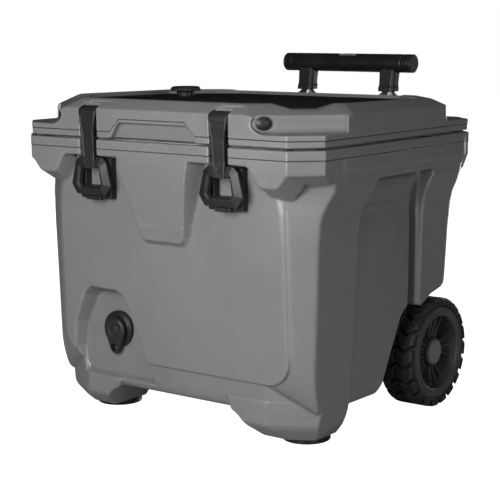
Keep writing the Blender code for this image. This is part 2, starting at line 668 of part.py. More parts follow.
def build_lid(mats):
    """Lid skin, foam, liner, gasket, top pad and corner plugs."""
    hinge = (0.0, HINGE_Y, HINGE_Z)
    shell = lid_solid("lid_shell", 0.0)
    inside = lid_solid("lid_core", LID_WALL)
    cut(shell, bake(inside))
    finish(shell, mats["shell"], hinge)

    foam = lid_solid("lid_foam", LID_WALL + GAP)
    cut(foam, box(
        "foam_floor", -HALF_W, HALF_W, -HALF_D, HALF_D, LID_Z - PAST, LID_Z + LID_LINER_T + GAP))
    finish(foam, mats["foam"], hinge)

    inset = LID_WALL + GAP
    liner = stack("lid_liner", [lid_outline(LID_Z, inset), lid_outline(LID_Z + LID_LINER_T, inset)])
    hang = LINER_X - HANG_IN, LINER_Y - HANG_IN
    join(liner, stack("liner_plug", [
        level_ring(RIM_Z - PLUG_DEPTH, hang[0] - HANG_DRAFT, hang[1] - HANG_DRAFT, LINER_CHAMFER),
        level_ring(LID_Z + LID_LINER_T / 2.0, hang[0], hang[1], LINER_CHAMFER)]))
    for side, word in ((1, "right"), (-1, "left")):
        x = side * LATCH_X
        reach = CHANNEL_HALF + LID_WALL + GAP
        cut(liner, box(
            f"lid_keep_{word}", x - reach, x + reach, -HALF_D - PAST, LID_CHANNEL_Y + LID_WALL + GAP,
            LID_Z - PAST, LID_Z + PAST))
    poly = grown(list(FINGER), LID_WALL + GAP)
    cut(liner, prism_y(
        "lid_keep_finger", poly, -HALF_D - PAST, -HALF_D + FINGER_DEPTH + LID_WALL + GAP))
    groove = stack("groove", [seal_ring(z, SEAL_OUT) for z in (LID_Z - PAST / 4.0, LID_Z + SEAL_DEPTH)])
    cut(groove, stack("groove_core", [seal_ring(z, SEAL_IN) for z in (LID_Z - PAST, LID_Z + PAST)]))
    cut(liner, bake(groove))
    finish(liner, mats["liner"], hinge)

    low, high = RIM_Z + GAP, LID_Z + SEAL_DEPTH - GAP
    gasket = stack("lid_gasket", [seal_ring(z, SEAL_OUT - 0.5) for z in (low, high)])
    cut(gasket, stack("gasket_core", [seal_ring(z, SEAL_IN + 0.5) for z in (low - PAST, high + PAST)]))
    finish(gasket, mats["rubber"], hinge)

    mat = outline(-PAD_X + GAP, PAD_X - GAP, -PAD_Y + GAP, PAD_REAR - GAP, PAD_CHAMFER)
    pad = stack("lid_pad", [[(x, y, z) for x, y in mat] for z in (PAD_Z + GAP, PAD_TOP)])
    cut(pad, rod_z("pad_bore", KNOB_X, KNOB_Y, PAD_Z - PAST, PAD_TOP + PAST, SEAT_R + GAP))
    finish(pad, mats["pad"], hinge)

    wall_leg = RIM_CHAMFER + NOTCH_IN * math.sqrt(2.0)
    for sx, sy, word in (
            (1, -1, "front_right"), (-1, -1, "front_left"), (1, 1, "rear_right"), (-1, 1, "rear_left")):
        rear = REAR_STEP if sy > 0 else 0.0
        half_x, half_y = HALF_W - LID_INSET, HALF_D - LID_INSET - rear
        shift = (PLUG_S if sy < 0 else PLUG_S * 0.6) * -1.0
        centre = Vector((sx * (half_x - wall_leg / 2.0), sy * (half_y - wall_leg / 2.0)))
        along = Vector((sx, -sy)).normalized()
        out = Vector((sx, sy)).normalized()
        middle = centre + along * shift
        rings = []
        for step, less in PLUG_RINGS:
            ring = []
            for a, b in circle(PLUG_R - less, 20):
                spot = middle + along * a + out * step
                ring.append((spot.x, spot.y, PLUG_Z + b * PLUG_SQUASH))
            rings.append(ring)
        finish(stack(f"plug_{word}", rings), mats["hardware"], hinge, smooth=True)


# ---------------------------------------------------------------- pressure release

def build_release(mats):
    """Seat, seal and turning knob of the pressure release."""
    hinge = (0.0, HINGE_Y, HINGE_Z)
    pivot = (KNOB_X, KNOB_Y, PAD_TOP)
    base = PAD_Z + GAP
    seat = rod_z("release_seat", KNOB_X, KNOB_Y, base, PAD_TOP + SEAT_RISE, SEAT_R, 24)
    cut(seat, rod_z("seat_bore", KNOB_X, KNOB_Y, base + SEAT_FLOOR, PAD_TOP + PAST, STEM_R + 5.0 * GAP, 20))
    finish(seat, mats["hardware"], hinge, smooth=True)

    low = PAD_TOP + SEAT_RISE + GAP
    seal = rod_z("release_seal", KNOB_X, KNOB_Y, low, low + RELEASE_SEAL_T, RELEASE_SEAL_R, 24)
    cut(seal, rod_z("seal_bore", KNOB_X, KNOB_Y, low - PAST, low + PAST, STEM_R + GAP, 20))
    finish(seal, mats["rubber"], pivot, smooth=True)

    under = low + RELEASE_SEAL_T + GAP
    top = under + KNOB_T
    knob = rod_z_rings("release_knob", KNOB_X, KNOB_Y, (
        (under, KNOB_R - KNOB_EDGE), (under + KNOB_EDGE, KNOB_R),
        (top - KNOB_EDGE, KNOB_R), (top, KNOB_R - KNOB_EDGE)))
    join(knob, rod_z("knob_stem", KNOB_X, KNOB_Y, base + SEAT_FLOOR + GAP, under + BURY, STEM_R, 20))
    finish(knob, mats["hardware"], pivot, smooth=True)


# ---------------------------------------------------------------- hinges and latches
def leaf(name, x0, x1, low, high):
    """Half of a hinge: a knuckle about the pin and a plate on the back face."""
    piece = rod_x(name, x0, x1, HINGE_Y, HINGE_Z, KNUCKLE_R, 20)
    join(piece, box(f"{name}_plate", x0, x1, HALF_D + GAP, HALF_D + LEAF_T, low, high))
    join(piece, box(f"{name}_web", x0, x1, HALF_D + LEAF_LAP, HINGE_Y, max(low, HINGE_Z - WEB_HALF),
                    min(high, HINGE_Z + WEB_HALF)))
    cut(piece, rod_x(f"{name}_bore", x0 - PAST, x1 + PAST, HINGE_Y, HINGE_Z, HINGE_PIN_R + GAP, 16))
    return piece


def build_hinges(mats):
    """Two hinges on the back, each with a pin fixed in its tub leaf."""
    hinge = (0.0, HINGE_Y, HINGE_Z)
    for side, word in ((1, "right"), (-1, "left")):
        x = side * HINGE_X
        tub_from, tub_to = sorted((x, x + side * KNUCKLE_L))
        lid_from, lid_to = sorted((x - side * KNUCKLE_GAP, x - side * KNUCKLE_L))
        tub_leaf = leaf(f"hinge_tub_{word}", tub_from, tub_to, LEAF_LOW, HINGE_Z + LEAF_LAP)
        finish(tub_leaf, mats["hardware"], smooth=True)
        lid_leaf = leaf(f"hinge_lid_{word}", lid_from, lid_to, HINGE_Z - LEAF_LAP, LEAF_TOP)
        finish(lid_leaf, mats["hardware"], hinge, smooth=True)
        pin_from, pin_to = min(tub_from, lid_from) - LEAF_LAP, max(tub_to, lid_to) + LEAF_LAP
        pin = rod_x(f"hinge_pin_{word}", pin_from, pin_to, HINGE_Y, HINGE_Z, HINGE_PIN_R, 16)
        finish(pin, mats["steel"], smooth=True)


def build_latches(mats):
    """Rubber straps on pins in the lid, each with its pull ring."""
    hinge = (0.0, HINGE_Y, HINGE_Z)
    for side, word in ((1, "right"), (-1, "left")):
        x = side * LATCH_X
        pivot = (x, PIN_Y, PIN_Z)
        reach = CHANNEL_HALF - GAP
        finish(rod_x(f"latch_pin_{word}", x - reach, x + reach, PIN_Y, PIN_Z, PIN_R, 16),
               mats["steel"], hinge, smooth=True)

        rings = []
        for z, front, half in STRAP[::-1]:
            rings.append([
                (x - half, front, z), (x + half, front, z),
                (x + half, front + STRAP_T, z), (x - half, front + STRAP_T, z)])
        strap = stack(f"latch_strap_{word}", rings)
        join(strap, rod_x(f"eye_{word}", x - STRAP[0][2], x + STRAP[0][2], PIN_Y, PIN_Z, STRAP_EYE_R, 24))
        cut(strap, rod_x(f"eye_bore_{word}", x - 2.0 * PAST, x + 2.0 * PAST, PIN_Y, PIN_Z, PIN_R + GAP, 16))
        finish(strap, mats["rubber"], pivot, smooth=True)

        poly = [(x + a, z) for a, z in RING_OUT] + [(x - a, z) for a, z in RING_OUT[::-1]]
        hole = [(x + a, z) for a, z in RING_HOLE] + [(x - a, z) for a, z in RING_HOLE[::-1]]
        ring = prism_y(f"latch_ring_{word}", poly, RING_FRONT, RING_FRONT + RING_T)
        cut(ring, prism_y(f"ring_hole_{word}", hole, RING_FRONT - PAST, RING_FRONT + PAST))
        finish(ring, mats["hardware"], pivot)


# ---------------------------------------------------------------- handle
def post_y(z):
    """Depth of a post's axis at a height."""
    return BAR_Y + (z - BAR_Z) * math.tan(math.radians(LEAN))


def oval(width, depth, sides=16):
    """Rounded-end outline, width along X and depth along Y."""
    radius = depth / 2.0
    flat = width / 2.0 - radius
    points = []
    for a, b in circle(radius, sides):
        points.append((a + math.copysign(flat, a), b))
    return points


def post(name, side, size, z0, z1):
    """Leaning post between two heights."""
    rings = []
    for z in (z0, z1):
        rings.append([(side * POST_X + a, post_y(z) + b, z) for a, b in oval(*size)])
    return stack(name, rings)


def build_handle(mats):
    """Sleeves and brackets on the tub, two sliding stages and the grip."""
    rest = (0.0, BAR_Y, BAR_Z)
    yoke = box("handle_yoke", -YOKE_HALF, YOKE_HALF, HALF_D + GAP, YOKE_BACK, *YOKE_Z)
    base = prism_x("handle_base", [
        (-wall_y(BASE_Z[0]) + BASE_TUCK, BASE_Z[0]), (BASE_BACK_LOW, BASE_Z[0]),
        (BASE_BACK_TOP, BASE_Z[1]), (-wall_y(BASE_Z[1]) + GAP + 0.2, BASE_Z[1])], -BASE_HALF, BASE_HALF)
    for side, word in ((1, "right"), (-1, "left")):
        grow = 2.0 * GAP
        hole = (SLEEVE_SIZE[0] + grow, SLEEVE_SIZE[1] + grow)
        cut(yoke, post(f"yoke_hole_{word}", side, hole, YOKE_Z[0] - PAST, YOKE_Z[1] + PAST))
        cut(base, post(f"base_hole_{word}", side, hole, SLEEVE_LOW_Z - GAP, BASE_Z[1] + PAST))

        sleeve = post(f"sleeve_{word}", side, SLEEVE_SIZE, SLEEVE_LOW_Z, SLEEVE_TOP_Z)
        cut(sleeve, post(
            f"sleeve_bore_{word}", side, SLEEVE_BORE, SLEEVE_LOW_Z + SLEEVE_FLOOR, SLEEVE_TOP_Z + PAST))
        finish(sleeve, mats["anodised"], smooth=True)

        mid = post(f"mid_tube_{word}", side, MID_SIZE, MID_LOW_Z, MID_TOP_Z)
        cut(mid, post(f"mid_bore_{word}", side, MID_BORE, MID_LOW_Z + MID_FLOOR, MID_TOP_Z + PAST))
        finish(mid, mats["anodised"], rest, smooth=True)

        finish(post(f"top_tube_{word}", side, TOP_SIZE, TOP_LOW_Z, LEG_FOOT_Z - GAP),
               mats["anodised"], rest, smooth=True)

        grip_leg = post(f"grip_leg_{word}", side, LEG_SIZE, LEG_FOOT_Z, BAR_Z)
        grow_bar = BAR_R + GAP
        cut(grip_leg, rod_x(
            f"leg_saddle_{word}", side * (POST_X - 2.0 * PAST), side * (POST_X + 2.0 * PAST),
            BAR_Y, BAR_Z, grow_bar, 32))
        finish(grip_leg, mats["grip"], rest, smooth=True)

        cap_from, cap_to = sorted((side * (BAR_HALF + GAP), side * (BAR_HALF + GAP + CAP_T)))
        finish(rod_x(f"grip_cap_{word}", cap_from, cap_to, BAR_Y, BAR_Z, BAR_R, 32),
               mats["grip"], rest, smooth=True)
    finish(yoke, mats["hardware"])
    finish(base, mats["hardware"])

    bar = rod_x("grip_bar", -BAR_HALF, BAR_HALF, BAR_Y, BAR_Z, BAR_R, 32)
    well_x, well_y = BUTTON_HALF_X + GAP, BUTTON_HALF_Y + GAP
    cut(bar, box("button_well", -well_x, well_x, BAR_Y - well_y, BAR_Y + well_y,
                 BAR_Z + BUTTON_WELL, BAR_Z + 2.0 * PAST))
    finish(bar, mats["grip"], rest, smooth=True)
    button = box("grip_button", -BUTTON_HALF_X, BUTTON_HALF_X, BAR_Y - BUTTON_HALF_Y, BAR_Y + BUTTON_HALF_Y,
                 BAR_Z + BUTTON_RISE, BAR_Z + BUTTON_RISE + BUTTON_T)
    finish(button, mats["button"], rest)


# ---------------------------------------------------------------- wheels
def build_wheels(mats):
    """Tyres, rims, hub caps and the fixed axle with its clamps."""
    for side, word in ((1, "right"), (-1, "left")):
        pivot = (side * (WHEEL_IN + WHEEL_OUT) / 2.0, WHEEL_Y, WHEEL_R)
        low, high = WHEEL_IN, WHEEL_OUT
        tyre = lathe_x(f"tyre_{word}", [(side * x, r) for x, r in (
            (low + TYRE_FLARE, TYRE_INNER_R), (high - TYRE_FLARE, TYRE_INNER_R),
            (high, TYRE_INNER_R + TYRE_BEAD),
            (high, WHEEL_R - SHOULDER_R), (high - SHOULDER_X, WHEEL_R), (low + SHOULDER_X, WHEEL_R),
            (low, WHEEL_R - SHOULDER_R), (low, TYRE_INNER_R + TYRE_BEAD))], WHEEL_Y, WHEEL_R, FINE)
        finish(tyre, mats["tyre"], pivot, smooth=True)

        outer = TYRE_INNER_R - GAP
        rim = lathe_x(f"rim_{word}", [(side * x, r) for x, r in (
            (low + RIM_HUB_IN, RIM_BORE_R), (high - RIM_FACE[0][0], RIM_BORE_R),
            *((high - inward, r) for inward, r in RIM_FACE), (high - RIM_FACE[-1][0], outer),
            (low + RIM_LIP, outer), (low + RIM_LIP, outer - RIM_LIP), (low + RIM_WEB_X, RIM_WEB_R),
        )], WHEEL_Y, WHEEL_R, FINE)
        finish(rim, mats["rim"], pivot, smooth=True)

        cap_from, cap_to = sorted((side * (high - HUB_IN + GAP), side * (high - HUB_OUT)))
        finish(rod_x(f"hub_cap_{word}", cap_from, cap_to, WHEEL_Y, WHEEL_R, HUB_R, 24),
               mats["hub"], pivot, smooth=True)

        clamp_from, clamp_to = side * CLAMP_X - CLAMP_HALF, side * CLAMP_X + CLAMP_HALF
        clamp = box(f"axle_clamp_{word}", clamp_from, clamp_to, WHEEL_Y - CLAMP_FRONT, WHEEL_Y + CLAMP_BACK,
                    BODY_BOTTOM - CLAMP_T, BODY_BOTTOM - GAP)
        join(clamp, box(f"clamp_rib_{word}", clamp_from, clamp_to, WHEEL_Y - SLOT_HALF_Y + GAP,
                        WHEEL_Y + SLOT_HALF_Y - GAP, BODY_BOTTOM - CLAMP_T, WHEEL_R + CLAMP_RISE))
        cut(clamp, rod_x(
            f"clamp_bore_{word}", clamp_from - PAST, clamp_to + PAST, WHEEL_Y, WHEEL_R,
            AXLE_R - AXLE_STEP + GAP, 20))
        finish(clamp, mats["hardware"])
    end, neck, thin = WHEEL_OUT - AXLE_END, WHEEL_IN + AXLE_NECK, AXLE_R - AXLE_STEP
    axle = lathe_x("axle", [
        (-end, AXLE_BORE_R), (end, AXLE_BORE_R), (end, AXLE_R), (neck, AXLE_R), (neck, thin),
        (-neck, thin), (-neck, AXLE_R), (-end, AXLE_R)], WHEEL_Y, WHEEL_R, 24)
    finish(axle, mats["steel"], smooth=True)


def main():
    """Build every piece."""
    clear_scene()
    mats = {
        "shell": paint("shell_plastic", (0.15, 0.15, 0.155), 0.5),
        "liner": paint("liner_plastic", (0.62, 0.62, 0.62), 0.5),
        "foam": paint("foam_core", (0.80, 0.76, 0.60), 0.9),
        "hardware": paint("black_nylon", (0.02, 0.02, 0.022), 0.5),
        "rubber": paint("black_rubber", (0.025, 0.025, 0.027), 0.6),
        "pad": paint("pad_rubber", (0.012, 0.012, 0.013), 0.8),
        "steel": paint("stainless", (0.60, 0.60, 0.62), 0.3, 1.0),
        "anodised": paint("black_aluminium", (0.03, 0.03, 0.032), 0.3, 1.0),
        "grip": paint("grip_nylon", (0.02, 0.02, 0.022), 0.6),
        "button": paint("button_plastic", (0.30, 0.30, 0.31), 0.4),
        "tyre": paint("tyre_rubber", (0.02, 0.02, 0.021), 0.8),
        "rim": paint("rim_plastic", (0.05, 0.05, 0.053), 0.5),
        "hub": paint("hub_plastic", (0.10, 0.10, 0.105), 0.4),
    }
    build_tub(mats)
    build_keepers(mats)
    build_drain(mats)
    build_lid(mats)
    build_release(mats)
    build_hinges(mats)
    build_latches(mats)
    build_handle(mats)
    build_wheels(mats)


main()
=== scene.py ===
"""Cooler on wheels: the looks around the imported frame.

The modelling below is in millimetres about the middle of the tub, with z up from the floor.
mesh_object() turns it into the frame's metres.
"""

import math

import bpy
import numpy as np
from mathutils import Matrix, Vector


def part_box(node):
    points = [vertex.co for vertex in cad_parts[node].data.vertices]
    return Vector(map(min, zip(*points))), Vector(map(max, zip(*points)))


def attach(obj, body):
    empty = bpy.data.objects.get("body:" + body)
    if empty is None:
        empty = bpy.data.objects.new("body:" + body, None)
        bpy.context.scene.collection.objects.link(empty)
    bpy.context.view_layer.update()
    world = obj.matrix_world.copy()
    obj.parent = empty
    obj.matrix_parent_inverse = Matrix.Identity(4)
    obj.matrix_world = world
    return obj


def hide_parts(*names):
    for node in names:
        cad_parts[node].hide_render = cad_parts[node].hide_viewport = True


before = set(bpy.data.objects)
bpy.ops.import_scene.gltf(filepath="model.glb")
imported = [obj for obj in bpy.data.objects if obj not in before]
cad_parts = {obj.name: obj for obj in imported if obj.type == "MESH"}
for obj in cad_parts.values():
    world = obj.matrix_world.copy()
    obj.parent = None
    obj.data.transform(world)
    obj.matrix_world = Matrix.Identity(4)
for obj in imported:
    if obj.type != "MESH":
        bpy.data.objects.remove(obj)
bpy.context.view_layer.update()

MM = 0.001
ROOT2 = math.sqrt(2)
FAR = 1000
FINE = 2  # grid of the large mouldings
HALF_W, HALF_D, RIM_Z = 275, 232.5, 430
Y_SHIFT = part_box("tub_shell")[0].y / MM + HALF_D
RIM_C = HALF_W + HALF_D - 37  # |x| + |y| on the rim's corner plane
RIM_LOW = 397  # lower edge of the tub's rim
TUB_SEAM_Z, LID_SEAM_Z, FINGER_SEAM_Z = 416.4, 442.2, 461  # parting lines
FINGER_IN, FINGER_OUT = 61, 79.5  # where the lid's line steps up over the finger recess
SEAM_STEP = 0.7  # the mouldings stand in by this below their parting lines
SIDES = ((-1, "left"), (1, "right"))


# ---- distance fields
def smax(a, b, k=0):
    """Larger of two distances, with the meeting edge rounded over k."""
    if k <= 0:
        return np.maximum(a, b)
    h = np.maximum(k - np.abs(a - b), 0)
    return np.maximum(a, b) + h * h * (0.25 / k)


def smin(a, b, k=0):
    """Smaller of two distances, with the meeting groove filled over k."""
    return -smax(-a, -b, k)


def both(k, *distances):
    """Common part of several shapes."""
    out = distances[0]
    for d in distances[1:]:
        out = smax(out, d, k)
    return out


def along(t, table):
    """Values of a table of (place, value) pairs along a coordinate."""
    places = sorted(table)
    values = np.interp(t.ravel(), [p for p, v in places], [v for p, v in places])
    return values.astype(np.float32).reshape(t.shape)


def convex(u, v, points, k=0):
    """Distance to a convex outline with its corners rounded over k."""
    area = sum(a[0] * b[1] - b[0] * a[1] for a, b in zip(points, points[1:] + points[:1]))
    sign = 1 if area > 0 else -1
    out = None
    for a, b in zip(points, points[1:] + points[:1]):
        length = math.hypot(b[0] - a[0], b[1] - a[1])
        nu, nv = sign * (b[1] - a[1]) / length, -sign * (b[0] - a[0]) / length
        d = (u - a[0]) * nu + (v - a[1]) * nv
        out = d if out is None else smax(out, d, k)
    return out


def polygon(u, v, points):
    """Distance to any closed outline."""
    best, side = None, 1
    for (ax, ay), (bx, by) in zip(points, points[1:] + points[:1]):
        ex, ey = bx - ax, by - ay
        wx, wy = u - ax, v - ay
        t = np.clip((wx * ex + wy * ey) / (ex * ex + ey * ey), 0, 1)
        d = (wx - ex * t) ** 2 + (wy - ey * t) ** 2
        best = d if best is None else np.minimum(best, d)
        above, below, left = v >= ay, v < by, ex * wy > ey * wx
        flip = (above & below & left) | (~above & ~below & ~left)
        side = np.where(flip, -side, side)
    return (side * np.sqrt(best)).astype(np.float32)


def mirrored(points):
    """Outline in x and z from its right half."""
    return points + [(-a, b) for a, b in reversed(points)]


def block(u, v, half_u, half_v, radius):
    """Distance to a rectangle with round corners."""
    a, b = np.abs(u) - (half_u - radius), np.abs(v) - (half_v - radius)
    return np.hypot(np.maximum(a, 0), np.maximum(b, 0)) + np.minimum(np.maximum(a, b), 0) - radius


def ring_outline(x, y, half_x, half_y, corner, k=0):
    """Distance to a rectangle with its corners cut at |x| + |y| = corner."""
    ax, ay = np.abs(x), np.abs(y)
    return both(k, ax - half_x, ay - half_y, (ax + ay - corner) / ROOT2)


def span(side, near, far):
    """Two places on one side, in rising order."""
    return sorted((side * near, side * far))


class Field:
    """Distances on a grid: negative inside, positive outside."""

    def __init__(self, low, high, step):
        self.step = step
        self.axes = [np.arange(lo, hi + step, step, dtype=np.float32) for lo, hi in zip(low, high)]
        self.values = np.full([len(a) for a in self.axes], FAR, np.float32)

    def window(self, low, high):
        """Part of the grid inside a box, with its coordinates."""
        cuts = tuple(
            slice(int(np.searchsorted(a, lo)), int(np.searchsorted(a, hi)))
            for a, lo, hi in zip(self.axes, low, high))
        x, y, z = (a[c] for a, c in zip(self.axes, cuts))
        return cuts, x[:, None, None], y[None, :, None], z[None, None, :]

    def add(self, shape, low=(-FAR,) * 3, high=(FAR,) * 3, k=0):
        """Add a shape inside a window."""
        cuts, x, y, z = self.window(low, high)
        self.values[cuts] = smin(self.values[cuts], shape(x, y, z), k)

    def cut(self, shape, low=(-FAR,) * 3, high=(FAR,) * 3, k=0):
        """Take a shape away inside a window."""
        cuts, x, y, z = self.window(low, high)
        self.values[cuts] = smax(self.values[cuts], -shape(x, y, z), k)

    def sample(self, points):
        """Distances at any points, read between the grid's own."""
        spot = (points - np.array([a[0] for a in self.axes], np.float32)) / self.step
        spot = np.clip(spot, 0, np.array(self.values.shape, np.float32) - 1.001)
        cell = spot.astype(np.int32)
        t = spot - cell
        out = np.zeros(len(points), np.float32)
        for i in (0, 1):
            for j in (0, 1):
                for k in (0, 1):
                    weight = (t[:, 0] if i else 1 - t[:, 0]) * (t[:, 1] if j else 1 - t[:, 1])
                    weight = weight * (t[:, 2] if k else 1 - t[:, 2])
                    out += weight * self.values[cell[:, 0] + i, cell[:, 1] + j, cell[:, 2] + k]
        return out

    def slope(self, points, reach):
        """Direction of the outside, and how sharply the surface bends there."""
        out = np.zeros((len(points), 3), np.float32)
        total = -6 * self.sample(points)
        for axis in range(3):
            step = np.zeros(3, np.float32)
            step[axis] = self.step * reach
            ahead, behind = self.sample(points + step), self.sample(points - step)
            out[:, axis] = ahead - behind
            total += ahead + behind
        length = np.linalg.norm(out, axis=1, keepdims=True)
        steep = length[:, 0] / (2 * self.step * reach)
        return out / np.maximum(length, 1e-6), steep, total / (self.step * reach)

    def crossings(self):
        """Points and faces where the distance is zero."""
        f = self.values
        inside = f < 0
        total = np.zeros([n - 1 for n in f.shape], np.uint8)
        corners = [(i, j, k) for i in (0, 1) for j in (0, 1) for k in (0, 1)]
        for i, j, k in corners:
            total += inside[i:f.shape[0] - 1 + i, j:f.shape[1] - 1 + j, k:f.shape[2] - 1 + k]
        cells = np.argwhere((total > 0) & (total < 8))
        number = np.full(total.shape, -1, np.int32)
        number[tuple(cells.T)] = np.arange(len(cells), dtype=np.int32)
        value = {c: f[tuple((cells + c).T)] for c in corners}
        place = np.zeros((len(cells), 3), np.float32)
        count = np.zeros(len(cells), np.float32)
        for a in corners:
            for axis in range(3):
                if a[axis]:
                    continue
                b = tuple(1 if n == axis else a[n] for n in range(3))
                fa, fb = value[a], value[b]
                cross = (fa < 0) != (fb < 0)
                t = np.where(cross, fa / np.where(cross, fa - fb, 1), 0)
                for n in range(3):
                    place[:, n] += np.where(cross, a[n] + (t if n == axis else 0), 0)
                count += cross
        place = (place / count[:, None] + cells) * self.step
        place += np.array([a[0] for a in self.axes], np.float32)
        faces = []
        for axis in range(3):
            u, v = (axis + 1) % 3, (axis + 2) % 3
            ahead, here, trim = [slice(None)] * 3, [slice(None)] * 3, [slice(None)] * 3
            ahead[axis], here[axis] = slice(1, None), slice(None, -1)
            trim[u], trim[v] = slice(1, -1), slice(1, -1)
            change = inside[tuple(here)] != inside[tuple(ahead)]
            spots = np.argwhere(change[tuple(trim)])
            spots[:, u] += 1
            spots[:, v] += 1
            out = inside[tuple(spots.T)]
            quad = []
            for du, dv in ((-1, -1), (0, -1), (0, 0), (-1, 0)):
                cell = spots.copy()
                cell[:, u] += du
                cell[:, v] += dv
                quad.append(number[tuple(cell.T)])
            quad = np.stack(quad, 1)
            quad[~out] = quad[~out][:, ::-1]
            faces.append(quad)
        return place, np.concatenate(faces)

    def skin(self, name, triangles=None):
        """Smooth closed piece, thinned to a number of triangles."""
        place, faces = self.crossings()
        for _ in range(2):
            normal, steep, bend = self.slope(place, 0.35)
            push = self.sample(place) / np.maximum(steep, 0.4)
            place -= normal * np.clip(push, -0.35 * self.step, 0.35 * self.step)[:, None]
        obj = mesh_object(name, place, faces)
        if triangles and len(faces) * 2 > triangles:
            thin = obj.modifiers.new("thin", "DECIMATE")
            thin.ratio = triangles / (len(faces) * 2)
            shape = obj.evaluated_get(bpy.context.evaluated_depsgraph_get())
            obj.data = bpy.data.meshes.new_from_object(shape)
            obj.modifiers.clear()
            obj.data.name = name
        mesh = obj.data
        mesh.shade_smooth()
        points = np.zeros(len(mesh.vertices) * 3, np.float32)
        mesh.vertices.foreach_get("co", points)
        points = points.reshape(-1, 3) / MM
        points[:, 1] -= Y_SHIFT
        normal, steep, bend = self.slope(points, 0.5)
        mesh.normals_split_custom_set_from_vertices(normal)
        normal, steep, bend = self.slope(points, 2)
        edge = mesh.attributes.new("edge", "FLOAT", "POINT")
        edge.data.foreach_set("value", np.clip(bend, -1, 1).astype(np.float32))
        return obj


def mesh_object(name, points, quads):
    """Object from points in millimetres and four-sided faces."""
    points = np.array(points, np.float32)
    points[:, 1] += Y_SHIFT
    points *= MM
    mesh = bpy.data.meshes.new(name)
    mesh.vertices.add(len(points))
    mesh.vertices.foreach_set("co", points.ravel())
    mesh.loops.add(quads.size)
    mesh.loops.foreach_set("vertex_index", quads.ravel().astype(np.int32))
    mesh.polygons.add(len(quads))
    mesh.polygons.foreach_set("loop_start", np.arange(0, quads.size, 4, dtype=np.int32))
    mesh.update(calc_edges=True)
    obj = bpy.data.objects.new(name, mesh)
    bpy.context.scene.collection.objects.link(obj)
    return obj


def moulded(name, low, high, step, shape, *cuts, triangles=None):
    """Piece from one shape and the (shape, rounding) pairs cut from it."""
    field = Field(low, high, step * (1))
    field.add(shape)
    for tool, k in cuts:
        field.cut(tool, k=k)
    return field.skin(name, triangles)


def dress(obj, body, slot, material, *nodes):
    """Give a piece its body, finish and the CAD nodes that it stands for."""
    obj.data.materials.append(material)
    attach(obj, body)
    if nodes:
        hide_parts(*nodes)
    return obj


# ---- tub
SIDE_IN = (  # height, how far the side stands in from the rim
    (430, 0), (397, 0), (384.5, 9.5), (371, 10.5), (356, 16.5), (340.5, 21.7), (325, 24.5),
    (293, 26), (207, 29), (99, 33), (64, 34.5), (50, 38))
WALL_IN = ((430, 29.5), (330, 29.5), (98, 39), (70, 42), (50, 46))
PANEL_STEP = 2.2
CORNER_N = (0.58, 0.815)  # front corner plane, 35 degrees round from the front
CORNER_AT = (
    (430, 282), (367, 282), (340, 286), (294, 286.5), (231, 284.5), (97, 281), (62, 279))
REAR_AT = (
    (430, 459), (384, 459), (354, 450.7), (339, 442), (324, 438), (292, 433),
    (206, 425.7), (100, 415), (50, 408))
BOTTOM_Z = 50
PANEL_LOW = 95
FOOT_N = (0.494, 0.869)  # outer face of a front foot
FOOT_AT = 249
LEG_TAPER = ((430, 0), (36, 0), (29, 3.5), (20, 12), (10.3, 21))
LEG_INNER = ((70, 100), (50, 108), (44, 119), (36, 128), (26, 135), (10.3, 143))
LEG_SIDE = ((70, 240), (60, 240), (36, 235), (26, 231.5), (10.3, 221))
LEG_BACK = ((70, -80), (44, -80), (30, -83), (20, -84), (10.3, -86))


def side_x(z):
    """Half width of the body at a height."""
    return HALF_W - along(z, SIDE_IN)


def front_plane(y, z, step=0):
    """Distance in front of the plain front wall."""
    return -y - (HALF_D - along(z, WALL_IN) - step)


def corner_plane(x, y, z):
    """Distance outside the front corner plane."""
    return CORNER_N[0] * np.abs(x) - CORNER_N[1] * y - along(z, CORNER_AT)


def body_shape(x, y, z):
    """Body below the rim, without its front panel."""
    ax = np.abs(x)
    d = both(3, ax - side_x(z), front_plane(y, z, PANEL_STEP), y - (HALF_D - along(z, SIDE_IN)))
    d = smax(d, corner_plane(x, y, z), 4)
    d = smax(d, (ax + y - along(z, REAR_AT)) / ROOT2, 5)
    d = smax(d, BOTTOM_Z - z, 14)
    return smax(d, z - RIM_Z + 6, 1)


def scoop_shape(x, y, z):
    """Overhang that draws each front corner in to its foot."""
    ax = np.abs(x)
    out = FOOT_N[0] * ax - FOOT_N[1] * y - FOOT_AT
    roof = 93 - (ax - 178) * 0.68 + 0.121 * out * out
    return smax(-out, (z - roof) / np.sqrt(1.5 + (0.242 * out) ** 2), 5)


def leg_shape(x, y, z):
    """Front leg above its rubber foot."""
    ax = np.abs(x)
    taper = along(z, LEG_TAPER)
    out = FOOT_N[0] * ax - FOOT_N[1] * y - FOOT_AT + taper * 0.9
    front = -y - (190 - taper * 1.5)
    side = ax - along(z, LEG_SIDE)
    d = both(2, out, front, side, z - 70, 10.3 - z)
    return both(2, d, along(z, LEG_INNER) - ax, y - along(z, LEG_BACK))


def panel_shape(x, y, z):
    """Proud front panel with round lower corners."""
    radius = 38
    a, b = np.abs(x) - (213 - radius), (PANEL_LOW + radius) - z
    outline = np.hypot(np.maximum(a, 0), np.maximum(b, 0)) + np.minimum(np.maximum(a, b), 0) - radius
    d = both(1.6, outline, front_plane(y, z), -front_plane(y, z) - 9)
    return smax(d, corner_plane(x, y, z), 4)


